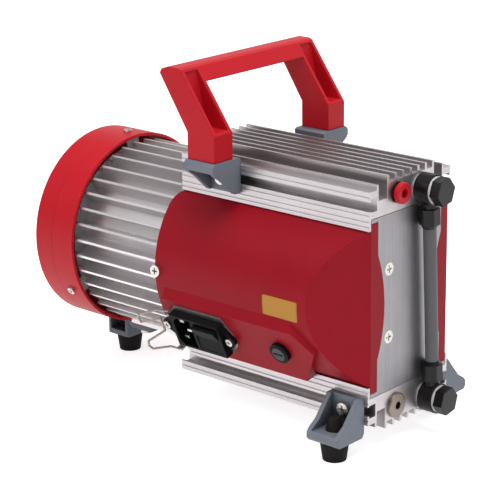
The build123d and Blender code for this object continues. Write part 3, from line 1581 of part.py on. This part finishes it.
def make_bail():
    """Sprung wire in the shape of an M that swings over a plug to hold it in."""
    plane = face_plane(hinge_station, up=hinge_mid, out=hinge_out)
    away, spread = -plane.x_dir, plane.y_dir
    swing = radians(bail_open_angle)
    reach_dir = away * cos(swing) + plane.z_dir * sin(swing)
    inward = away * sin(swing) - plane.z_dir * cos(swing)

    def place(point, hand):
        reach, half_spread, setting = point
        return (plane.origin + reach_dir * reach + spread * (hand * half_spread)
                + inward * -setting)

    half = [(0, lug_up - 2, 0), (0, hinge_half, 0), bail_arm, bail_ear_outer, bail_ear_tip,
            bail_ear_inner, bail_bar]
    route = [place(point, 1) for point in half] + [place(point, -1) for point in reversed(half)]
    with BuildPart() as bail:
        with BuildLine() as wire:
            Polyline(*route)
        with BuildSketch(Plane(route[0], z_dir=route[1] - route[0])):
            Circle(bail_radius)
        sweep(path=wire.line, transition=Transition.ROUND)
    return bail


def make_fuse_holder():
    """Panel fuse holder: collar on the face, barrel through it and a nut behind."""
    with BuildPart() as fuse_holder:
        with BuildSketch(face_plane(fuse_station, up=fuse_up)):
            Circle(fuse_radius)
            Circle(fuse_cap_radius + pivot_clearance, mode=Mode.SUBTRACT)
        extrude(amount=fuse_collar_height)
        with BuildSketch(face_plane(fuse_station, up=fuse_up)):
            Circle(fuse_barrel_radius)
            Circle(fuse_cap_radius + pivot_clearance, mode=Mode.SUBTRACT)
        extrude(amount=-fuse_barrel_length)
        with BuildSketch(face_plane(fuse_station, up=fuse_up, out=-fuse_barrel_length)):
            Circle(fuse_barrel_radius)
        extrude(amount=-2)
    return fuse_holder


def make_fuse_cap():
    """Slotted bayonet cap that carries the fuse."""
    with BuildPart() as fuse_cap:
        with BuildSketch(face_plane(fuse_station, up=fuse_up, out=fuse_collar_height + 0.6)):
            Circle(fuse_cap_radius)
        extrude(amount=-6)
        with BuildSketch(face_plane(fuse_station, up=fuse_up, out=fuse_collar_height + 0.6)):
            Rectangle(8.4, 1.6)
        extrude(amount=-1.8, mode=Mode.SUBTRACT)
        with BuildSketch(face_plane(fuse_station, up=fuse_up, out=fuse_collar_height - 5.4)):
            Circle(fuse_cap_radius - 2.4)
        extrude(amount=3, mode=Mode.SUBTRACT)
    return fuse_cap


def make_fuse():
    start = fuse_collar_height - 5.4 + 3
    with BuildPart() as fuse:
        with BuildSketch(face_plane(fuse_station, up=fuse_up, out=start)):
            Circle(fuse_cap_radius - 2.6)
        extrude(amount=-start - fuse_barrel_length + 0.4)
    return fuse


fuse_barrel_length = 12.0

keep(make_bail_carrier(), "bail_carrier")
keep(make_inlet_frame(), "inlet_frame")
keep(make_inlet_screws(), "inlet_screws")
keep(make_socket_pins(), "socket_pins")
keep(make_rocker(), "rocker")
keep(make_bail(), "bail")
keep(make_fuse_holder(), "fuse_holder")
keep(make_fuse_cap(), "fuse_cap")
keep(make_fuse(), "fuse")
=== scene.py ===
import math

import bmesh
import bpy
import numpy as np
from mathutils import Matrix, Vector


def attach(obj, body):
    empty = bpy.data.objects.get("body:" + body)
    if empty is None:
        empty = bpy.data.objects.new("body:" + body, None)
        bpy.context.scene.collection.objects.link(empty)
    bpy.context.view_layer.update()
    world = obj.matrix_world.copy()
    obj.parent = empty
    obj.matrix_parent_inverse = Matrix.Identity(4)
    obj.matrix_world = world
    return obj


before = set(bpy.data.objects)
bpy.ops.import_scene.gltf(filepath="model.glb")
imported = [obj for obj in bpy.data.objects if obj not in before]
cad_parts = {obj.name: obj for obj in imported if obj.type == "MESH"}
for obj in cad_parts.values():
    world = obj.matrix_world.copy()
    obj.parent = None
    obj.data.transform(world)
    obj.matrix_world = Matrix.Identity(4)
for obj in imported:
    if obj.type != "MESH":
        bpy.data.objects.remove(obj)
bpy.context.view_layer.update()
print("pump model loaded:", len(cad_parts), "parts")

# shared places in metres: the shaft runs along X here, and stations count back from the front face
pump = {"frontX": 0.1335, "shaftY": 0.004015, "shaftZ": 0.102, "coverRadius": 0.068}


# one output socket, so that a pattern is written as a Python expression
class Sock:
    def __init__(self, owner, socket):
        self.owner = owner
        self.socket = socket

    def maths(self, operation, other=None, swap=False):
        values = [self] if other is None else ([other, self] if swap else [self, other])
        return self.owner.node("ShaderNodeMath", {"operation": operation}, dict(enumerate(values)))

    def __add__(self, other): return self.maths("ADD", other)
    def __radd__(self, other): return self.maths("ADD", other, True)
    def __sub__(self, other): return self.maths("SUBTRACT", other)
    def __rsub__(self, other): return self.maths("SUBTRACT", other, True)
    def __mul__(self, other): return self.maths("MULTIPLY", other)
    def __truediv__(self, other): return self.maths("DIVIDE", other)
    def __abs__(self): return self.maths("ABSOLUTE")
    def __lt__(self, other): return self.maths("LESS_THAN", other)

    def clamped(self):
        made = self.maths("ADD", 0.0)
        made.socket.node.use_clamp = True
        return made

    def sibling(self, output):  # another output of the same node
        return Sock(self.owner, self.socket.node.outputs[output])


# a node tree with one method that adds any node and gives back one of its outputs
class Tree:
    def __init__(self, tree):
        self.tree = tree

    def node(self, kind, settings=None, values=None, output=0):
        made = self.tree.nodes.new(kind)
        for key, value in (settings or {}).items():
            setattr(made, key, value)
        for key, value in (values or {}).items():
            self.feed(made.inputs[key], value)
        return Sock(self, made.outputs[output])

    def feed(self, target, value):
        if isinstance(value, Sock):
            self.tree.links.new(value.socket, target)
        else:
            target.default_value = value


# a new material, whose shader's sockets take values or patterns
class Shader(Tree):
    def __init__(self, name, **settings):
        self.material = bpy.data.materials.new(name)
        self.material.use_nodes = True
        super().__init__(self.material.node_tree)
        self.surface = self.tree.nodes["Principled BSDF"]
        for socket, value in settings.items():
            self.give(socket.replace("_", " "), value)

    def give(self, socket, value):
        self.feed(self.surface.inputs[socket], value)

    def place(self, scale=(1, 1, 1)):  # object coordinates in metres, stretched
        spot = self.node("ShaderNodeTexCoord", output=3)
        return self.node("ShaderNodeMapping", {}, {"Vector": spot, "Scale": scale})

    def part(self, number):  # one of the object coordinates: 0, 1, 2 for x, y, z
        spot = self.node("ShaderNodeTexCoord", output=3)
        return self.node("ShaderNodeSeparateXYZ", {}, {0: spot}, number)

    def noise(self, scale, detail=3.0, rough=0.55, stretch=(1, 1, 1)):
        values = {"Vector": self.place(stretch), "Scale": scale, "Detail": detail, "Roughness": rough}
        return self.node("ShaderNodeTexNoise", {"noise_dimensions": "3D"}, values)

    def blend(self, amount, first, second):
        first, second = ((*value, 1.0) if isinstance(value, tuple) else value for value in (first, second))
        return self.node("ShaderNodeMix", {"data_type": "RGBA"}, {0: amount, 6: first, 7: second}, 2)

    def nooks(self, reach):  # 1 in the open, towards 0 in slots and inner corners
        return self.node("ShaderNodeAmbientOcclusion", {"samples": 6}, {"Distance": reach}, 1)

    def bump(self, height, strength, distance, edge=0.0):  # edge rounds the mesh's sharp edges by that radius
        values = {"Height": height, "Strength": strength, "Distance": distance}
        if edge:
            values["Normal"] = self.node("ShaderNodeBevel", {"samples": 6}, {"Radius": edge})
        self.give("Normal", self.node("ShaderNodeBump", {}, values))


def darker(colour, share):
    return tuple(share * part for part in colour)


# the darkest colour here is painted shade, laid into deep nooks and the side rails' slots
extrusion = {"colour": (0.64, 0.605, 0.615), "shade": (0.45, 0.415, 0.425), "slotShade": (0.075, 0.067, 0.07),
             "streaks": 850.0, "broadShare": 0.25, "cloud": 28.0,
             "streakTone": 0.5, "broadTone": 0.6, "cloudTone": 0.3, "toneStart": 0.2,
             "rough": 0.34, "streakRough": 0.18, "cloudRough": 0.06,
             "relief": 0.35, "depth": 0.00008, "edge": 0.0003,
             "nook": 0.0085, "nookGain": 4.0, "nookStart": 0.5, "rail": 0.052, "innerUnshaded": 0.9}


# Drawn metal: streaks of noise, long along the drawing direction, fine and broad, set the tone and the gloss.
# Painted shade: the colour darkens in deep nooks by ambient occlusion, but only further from the shaft than
# rail, in the side rails' slots.
def extrudedAluminium(name, values, stretch):
    shader = Shader(name, Metallic=1.0)
    streaks = shader.noise(values["streaks"], detail=4.0, rough=0.6, stretch=stretch)
    broad = shader.noise(values["streaks"] * values["broadShare"], detail=2.0, rough=0.5, stretch=stretch)
    cloud = shader.noise(values["cloud"], detail=2.0)
    tone = (streaks * values["streakTone"] + broad * values["broadTone"] + cloud * values["cloudTone"]
            - values["toneStart"]).clamped()
    inner = abs(shader.part(1) - pump["shaftY"]) < values["rail"]
    # painted shade: ambient occlusion darkens the colour in the rails' slots and deep nooks
    unshaded = (shader.nooks(values["nook"]) * values["nookGain"] - values["nookStart"]
             + inner * values["innerUnshaded"]).clamped()
    metal = shader.blend(tone, values["shade"], values["colour"])
    shader.give("Base Color", shader.blend(unshaded, values["slotShade"], metal))
    shader.give("Roughness", values["rough"] + streaks * values["streakRough"] - cloud * values["cloudRough"])
    shader.bump(streaks, values["relief"], values["depth"], values["edge"])
    return shader


alongX, alongZ = (0.02, 1, 1), (1, 1, 0.025)
# painted light: the motor's extrusion is paler than the heads' and its nooks reach less far, standing in for
# light reflected between its fins
motorPaintedLight = {"colour": (0.88, 0.855, 0.86), "shade": (0.72, 0.69, 0.70), "rough": 0.40, "nook": 0.003}
greyPlate = {"colour": (0.39, 0.372, 0.388), "shade": (0.22, 0.212, 0.224), "rough": 0.36, "streaks": 1300.0,
             "cloud": 60.0}
headMetal = extrudedAluminium("extrudedHeads", extrusion, alongX)
motorMetal = extrudedAluminium("extrudedMotor", {**extrusion, **motorPaintedLight}, alongX)
plateMetal = extrudedAluminium("brushedPlate", {**extrusion, **greyPlate}, alongZ)

casting = {"colour": (0.46, 0.46, 0.47), "shade": (0.32, 0.32, 0.33), "grain": 1800.0, "cloud": 40.0,
           "rough": 0.45, "grainRough": 0.2, "relief": 0.35, "depth": 0.0002, "edge": 0.0004}


# cast surface: fine grain in height and gloss, broad clouds in tone
def castMetal(name, values):
    shader = Shader(name, Metallic=1.0)
    grain = shader.noise(values["grain"], detail=4.0, rough=0.65)
    cloud = shader.noise(values["cloud"])
    shader.give("Base Color", shader.blend(cloud, values["shade"], values["colour"]))
    shader.give("Roughness", values["rough"] + grain * values["grainRough"])
    shader.bump(grain, values["relief"], values["depth"], values["edge"])
    return shader


sheetSteel = {"colour": (0.32, 0.32, 0.34), "shade": (0.22, 0.22, 0.24), "rough": 0.4}
castGrey = castMetal("castAluminium", casting)
laminated = castMetal("stackedSteel", {**casting, **sheetSteel})

nickel = {"colour": (0.70, 0.67, 0.64), "dark": 0.7, "smear": 260.0, "rough": 0.18, "smearRough": 0.18,
          "relief": 0.12, "depth": 0.0001, "edge": 0.0002}


# plated or turned metal: faint smears in height, gloss and tone
def platedMetal(name, values):
    shader = Shader(name, Metallic=1.0)
    smear = shader.noise(values["smear"], detail=5.0, rough=0.6)
    dark = darker(values["colour"], values["dark"])
    shader.give("Base Color", shader.blend(smear, dark, values["colour"]))
    shader.give("Roughness", values["rough"] + smear * values["smearRough"])
    shader.bump(smear, values["relief"], values["depth"], values["edge"])
    return shader


def otherMetal(name, colour, rough, smear):
    return platedMetal(name, {**nickel, "colour": colour, "rough": rough, "smear": smear})


screwMetal = platedMetal("nickelScrews", nickel)
turnedSteel = otherMetal("turnedSteel", (0.46, 0.46, 0.46), rough=0.28, smear=500.0)
wireSteel = otherMetal("springWire", (0.40, 0.34, 0.30), rough=0.28, smear=700.0)
plugBrass = otherMetal("plugMetal", (0.30, 0.25, 0.22), rough=0.30, smear=400.0)
copperWire = otherMetal("lacqueredCopper", (0.70, 0.33, 0.16), rough=0.35, smear=900.0)

coverRed = {"colour": (0.335, 0.0045, 0.0155), "shade": (0.275, 0.0036, 0.0120),
            "grain": 2600.0, "cloud": 18.0, "rough": 0.34, "grainRough": 0.12, "cloudRough": 0.05,
            "relief": 0.3, "depth": 0.00008, "edge": 0.0006, "gloss": 0.13}


# moulded plastic: fine spark-eroded grain in height and gloss, faint flow clouds in tone
def mouldedPlastic(name, values):
    shader = Shader(name, Specular_IOR_Level=values["gloss"])
    grain = shader.noise(values["grain"], rough=0.6)
    cloud = shader.noise(values["cloud"], rough=0.5)
    shader.give("Base Color", shader.blend(cloud, values["shade"], values["colour"]))
    shader.give("Roughness", values["rough"] + grain * values["grainRough"] + cloud * values["cloudRough"])
    shader.bump(grain, values["relief"], values["depth"], values["edge"])
    return shader


brightRed = {**coverRed, "colour": (0.56, 0.0080, 0.0180), "shade": (0.47, 0.0062, 0.0142), "edge": 0.0014,
             "gloss": 0.20}
black = {**coverRed, "colour": (0.0070, 0.0068, 0.0080), "shade": (0.0042, 0.0040, 0.0048), "gloss": 0.07}
shinyBlack = {"colour": (0.0085, 0.0075, 0.0092), "rough": 0.24, "gloss": 0.26}
capGrey = {"colour": (0.085, 0.088, 0.095), "shade": (0.062, 0.064, 0.070), "rough": 0.4}
tubeGrey = {"colour": (0.150, 0.150, 0.157), "shade": (0.122, 0.122, 0.129), "rough": 0.36}
milkWhite = {"colour": (0.66, 0.66, 0.64), "shade": (0.58, 0.58, 0.56), "rough": 0.4}
rubber = {"colour": (0.0165, 0.0140, 0.0140), "shade": (0.0115, 0.0100, 0.0100), "rough": 0.60,
          "depth": 0.0002, "edge": 0.0012, "gloss": 0.12}
redShell = mouldedPlastic("redShell", coverRed)
redHandle = mouldedPlastic("redHandle", brightRed)
redRing = mouldedPlastic("redRing", {**brightRed, "rough": 0.28, "edge": 0.0005})
blackMoulding = mouldedPlastic("blackMoulding", black)
blackFitting = mouldedPlastic("blackFitting", {**black, **shinyBlack})
blackFan = mouldedPlastic("blackFan", {**black, "rough": 0.45, "edge": 0.0008})
greyCap = mouldedPlastic("greyCap", {**coverRed, **capGrey})
greyTube = mouldedPlastic("greyTube", {**coverRed, **tubeGrey})
whitePolymer = mouldedPlastic("whitePolymer", {**coverRed, **milkWhite})
rubberFoot = mouldedPlastic("blackRubber", {**black, **rubber})

fanShell = {**brightRed, "edge": 0.0008, "grainShare": 0.2,
            "seam": 0.2690, "seamWidth": 0.00035, "seamDepth": 0.0004, "seamRelief": 0.6,
            "seamTone": 0.35, "seamDark": 0.55, "seamRough": 0.1}


# the fan cover's moulding seam: a groove where |x - seam| is under its width, dark at its bottom
def fanCoverRed(values):
    shader = Shader("redFanCover", Specular_IOR_Level=values["gloss"])
    grain = shader.noise(values["grain"], rough=0.6)
    cloud = shader.noise(values["cloud"], rough=0.5)
    seamX = pump["frontX"] - values["seam"]
    groove = (1.0 - abs(shader.part(0) - seamX) / values["seamWidth"]).clamped()
    plain = shader.blend(cloud, values["shade"], values["colour"])
    dark = darker(values["shade"], values["seamDark"])
    shader.give("Base Color", shader.blend(groove * values["seamTone"], plain, dark))
    shader.give("Roughness", values["rough"] + grain * values["grainRough"] + groove * values["seamRough"])
    height = grain * values["grainShare"] - groove
    shader.bump(height, values["seamRelief"], values["seamDepth"], values["edge"])
    return shader


redFanCover = fanCoverRed(fanShell)

# the darkest colour here is painted shade for the inner corners
paint = {"colour": (0.185, 0.208, 0.245), "shade": (0.150, 0.170, 0.205), "cornerShade": (0.020, 0.024, 0.034),
         "peel": 700.0, "cloud": 35.0, "rough": 0.40, "peelRough": 0.1, "relief": 0.3, "depth": 0.0002,
         "edge": 0.0010, "gloss": 0.30, "nook": 0.014, "nookGain": 1.5, "nookStart": 0.2}


# baked powder paint: rounded orange-peel waves under a satin skin, with painted shade in the inner corners
def powderCoat(name, values):
    shader = Shader(name, Specular_IOR_Level=values["gloss"])
    peel = shader.noise(values["peel"], detail=2.0, rough=0.4)
    cloud = shader.noise(values["cloud"])
    # painted shade: ambient occlusion darkens the coat's colour in inner corners
    unshaded = (shader.nooks(values["nook"]) * values["nookGain"] - values["nookStart"]).clamped()
    coat = shader.blend(cloud, values["shade"], values["colour"])
    shader.give("Base Color", shader.blend(unshaded, values["cornerShade"], coat))
    shader.give("Roughness", values["rough"] + peel * values["peelRough"])
    shader.bump(peel, values["relief"], values["depth"], values["edge"])
    return shader


greyPaint = powderCoat("greyPowderCoat", paint)
print("materials made")

finishes = [
    (headMetal, ["upper_head", "lower_head"]),
    (motorMetal, ["motor_housing"]),
    (plateMetal, ["front_plate"]),
    (castGrey, ["crankcase", "front_shield", "rear_shield", "upper_rod", "lower_rod", "slot_nuts"]),
    (laminated, ["stator_core", "rotor_core"]),
    (copperWire, ["windings"]),
    (turnedSteel, ["shaft", "shaft_bearings", "eccentric", "counterweight", "upper_rod_bearing",
                   "lower_rod_bearing", "bail_carrier"]),
    (screwMetal, ["front_plate_screws", "cover_screws", "fan_cover_screws", "bracket_screws", "handle_screws",
                  "rear_bracket_screws", "inlet_screws", "socket_pins", "gas_outlet"]),
    (plugBrass, ["lower_plug"]),
    (wireSteel, ["bail"]),
    (redShell, ["left_cover", "right_cover"]),
    (redHandle, ["handle"]),
    (redRing, ["inlet_collar"]),
    (redFanCover, ["fan_cover"]),
    (blackMoulding, ["inlet_frame", "rocker", "fuse_holder"]),
    (blackFitting, ["banjo_rings", "banjo_bolts", "tube_nuts", "inlet_cartridge"]),
    (blackFan, ["fan"]),
    (greyCap, ["fuse_cap"]),
    (greyTube, ["tube", "fuse"]),
    (whitePolymer, ["banjo_washers", "upper_clamp_disc", "lower_clamp_disc", "upper_valve_plate",
                    "lower_valve_plate"]),
    (rubberFoot, ["feet", "upper_diaphragm", "lower_diaphragm", "valve_flaps"]),
    (greyPaint, ["foot_brackets", "handle_brackets", "rear_bracket"]),
]


# every material slot of a CAD part takes the same finish
def dress(names, shader):
    for name in names:
        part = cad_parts[name]
        for number in range(len(part.material_slots)):
            part.material_slots[number].material = shader.material
        if not part.material_slots:
            part.data.materials.append(shader.material)


for shader, names in finishes:
    dress(names, shader)
print("parts dressed")


# quads over a grid of points, shape (rows, columns, 3), built as whole arrays
def gridMesh(name, points, wrapV=False):
    rows, columns = points.shape[:2]
    u, v = np.meshgrid(np.arange(rows - 1), np.arange(columns - (not wrapV)), indexing="ij")
    nextV = (v + 1) % columns
    here, below = u * columns, (u + 1) * columns
    corners = np.stack([here + v, below + v, below + nextV, here + nextV], -1)
    mesh = bpy.data.meshes.new(name)
    mesh.from_pydata(points.reshape(-1, 3).tolist(), [], corners.reshape(-1, 4).tolist())
    piece = bpy.data.objects.new(name, mesh)
    bpy.context.collection.objects.link(piece)
    return piece


# merges doubles, turns faces outwards, and hangs the piece on its body
def finished(piece, shader, body):
    mesh = bmesh.new()
    mesh.from_mesh(piece.data)
    bmesh.ops.remove_doubles(mesh, verts=mesh.verts, dist=1e-6)
    bmesh.ops.recalc_face_normals(mesh, faces=mesh.faces)
    mesh.to_mesh(piece.data)
    mesh.free()
    piece.data.polygons.foreach_set("use_smooth", [True] * len(piece.data.polygons))
    piece.data.materials.clear()
    piece.data.materials.append(shader.material)
    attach(piece, body)


plate = {"start": 0.0404, "end": 0.0700, "top": 0.0033, "bottom": -0.0106, "skin": 0.00025, "sunk": 0.0001,
         "squareness": 0.09, "rings": 9, "around": 128,
         "colour": (0.52, 0.24, 0.022), "shade": (0.44, 0.195, 0.018), "fibre": 900.0,
         "rough": 0.38, "fibreRough": 0.12, "relief": 0.1, "depth": 0.00005, "gloss": 0.4}


# A blank plate wrapped on the left cover. Round the plate runs a superellipse, its two coordinates the signed
# powers of cosine and sine, and rings shrink to the middle. Height h becomes an angle, arcsin(h / radius),
# about the shaft; the last ring drops just under the cover's skin, which gives the plate its edge.
def coverPlate(values):
    around = np.linspace(0, 2 * np.pi, values["around"], endpoint=False)
    shrink = np.concatenate([np.linspace(0.0, 1.0, values["rings"]), [1.0]])[:, None]
    lift = np.concatenate([np.full(values["rings"], values["skin"]), [-values["sunk"]]])[:, None]
    waves = (np.cos(around), np.sin(around))
    outline = [np.sign(wave) * np.abs(wave) ** values["squareness"] for wave in waves]
    halfLength, halfHeight = (values["end"] - values["start"]) / 2, (values["top"] - values["bottom"]) / 2
    station = values["start"] + halfLength + shrink * outline[0] * halfLength
    height = values["bottom"] + halfHeight + shrink * outline[1] * halfHeight
    turn = np.arcsin(height / pump["coverRadius"])
    radius = pump["coverRadius"] + lift
    across, up = radius * np.cos(turn), radius * np.sin(turn)
    layers = [pump["frontX"] - station, pump["shaftY"] - across, pump["shaftZ"] + up]
    return gridMesh("coverPlate", np.stack(layers, -1), wrapV=True)


# printed foil left plain: fine fibre in tone, gloss and height
def plainFoil(values):
    shader = Shader("yellowPlate", Specular_IOR_Level=values["gloss"])
    fibre = shader.noise(values["fibre"])
    shader.give("Base Color", shader.blend(fibre, values["shade"], values["colour"]))
    shader.give("Roughness", values["rough"] + fibre * values["fibreRough"])
    shader.bump(fibre, values["relief"], values["depth"])
    return shader


finished(coverPlate(plate), plainFoil(plate), "pump_body")
print("plate made")

studio = {"keyPower": 7.5, "keySize": 1.1, "keySpot": (-0.7, -1.5, 1.3),
          "frontPower": 0.8, "frontSize": 0.8, "frontSpot": (1.7, -0.2, 0.9),
          "topPower": 25.0, "topSize": 1.4, "topSpot": (0.35, -0.1, 1.7), "lampAim": (0, 0, 0.1),
          "floorReach": 8.0, "floorTone": 0.93, "floorGlow": 0.70, "floorMirror": 0.50,
          "fill": 0.40, "gloss": 0.72, "glossDark": 0.22, "backdrop": 0.75,
          "bands": 1.6, "bandStart": 0.40, "bandGain": 3.2}


def softLamp(name):
    lamp = bpy.data.lights.new(name + "Lamp", "AREA")
    lamp.energy, lamp.size = studio[name + "Power"], studio[name + "Size"]
    holder = bpy.data.objects.new(name + "Lamp", lamp)
    bpy.context.collection.objects.link(holder)
    holder.location = studio[name + "Spot"]
    holder.rotation_euler = (Vector(studio["lampAim"]) - holder.location).to_track_quat("-Z", "Y").to_euler()


for name in ("key", "front", "top"):
    softLamp(name)


# pale floor: diffuse, with a glow that only the camera and mirrors see, so that its shadow stays
def paleFloor():
    side = np.array([-studio["floorReach"], studio["floorReach"]])
    floor = gridMesh("floor", np.stack(np.meshgrid(side, side, indexing="ij") + [np.zeros((2, 2))], -1))
    shader = Shader("paleFloor")
    seen = shader.node("ShaderNodeLightPath").sibling("Is Camera Ray")
    strength = seen * studio["floorGlow"] + seen.sibling("Is Glossy Ray") * studio["floorMirror"]
    matt = shader.node("ShaderNodeBsdfDiffuse", {}, {"Color": (*[studio["floorTone"]] * 3, 1.0)})
    glow = shader.node("ShaderNodeEmission", {}, {"Strength": strength})
    both = shader.node("ShaderNodeAddShader", {}, {0: matt, 1: glow})
    shader.feed(shader.tree.nodes["Material Output"].inputs["Surface"], both)
    shader.tree.nodes.remove(shader.surface)
    floor.data.materials.append(shader.material)
    return floor


paleFloor()


# White behind the pump. In mirrors a studio that darkens in slow bands of noise and brightens towards +Y.
# A plain fill for all other light.
def studioWorld():
    world = bpy.data.worlds.new("studioWorld")
    bpy.context.scene.world = world
    world.use_nodes = True
    sky = Tree(world.node_tree)
    across = sky.node("ShaderNodeSeparateXYZ", {}, {0: sky.node("ShaderNodeTexCoord")}, 1)
    bands = sky.node("ShaderNodeTexNoise", {"noise_dimensions": "3D"},
                     {"Vector": sky.node("ShaderNodeTexCoord"), "Scale": studio["bands"], "Detail": 1.0,
                      "Roughness": 0.4})
    wash = ((bands - studio["bandStart"]) * studio["bandGain"] + across * studio["backdrop"]).clamped()
    mirror = studio["glossDark"] + wash * studio["gloss"]
    isCamera = sky.node("ShaderNodeLightPath").sibling("Is Camera Ray")
    isGlossy = isCamera.sibling("Is Glossy Ray")
    white = isCamera.maths("MAXIMUM", isCamera.sibling("Is Transmission Ray"))
    light = white + (1.0 - white) * (isGlossy * mirror + (1.0 - isGlossy) * studio["fill"])
    background = world.node_tree.nodes["Background"]
    background.inputs["Color"].default_value = (1.0, 1.0, 1.0, 1.0)
    sky.feed(background.inputs["Strength"], light)


studioWorld()
print("studio made")

shot = {"azimuth": 41.39, "elevation": 16.22, "roll": -0.62, "distance": 1.33823,
        "aim": (-0.00625, pump["shaftY"], 0.13266), "sensor": 36.0, "lens": 136.93, "shiftY": -0.074,
        "clipEnd": 50.0}


# the camera looks at aim from azimuth and elevation, its level turned by roll about the line of sight
def placeCamera(values):
    azimuth, elevation, roll = (math.radians(values[key]) for key in ("azimuth", "elevation", "roll"))
    flat = math.cos(elevation)
    back = Vector((math.sin(azimuth) * flat, -math.cos(azimuth) * flat, math.sin(elevation)))
    level = Vector((math.cos(azimuth), math.sin(azimuth), 0.0))
    plumb = back.cross(level)
    right = level * math.cos(roll) + plumb * math.sin(roll)
    upright = plumb * math.cos(roll) - level * math.sin(roll)
    camera = bpy.data.objects.new("camera", bpy.data.cameras.new("camera"))
    bpy.context.collection.objects.link(camera)
    spot = Vector(values["aim"]) + back * values["distance"]
    camera.matrix_world = Matrix.Translation(spot) @ Matrix((right, upright, back)).transposed().to_4x4()
    camera.data.sensor_width, camera.data.lens = values["sensor"], values["lens"]
    camera.data.shift_y, camera.data.clip_end = values["shiftY"], values["clipEnd"]
    bpy.context.scene.camera = camera


placeCamera(shot)
bpy.context.scene.view_settings.view_transform = "Standard"
print("camera placed")
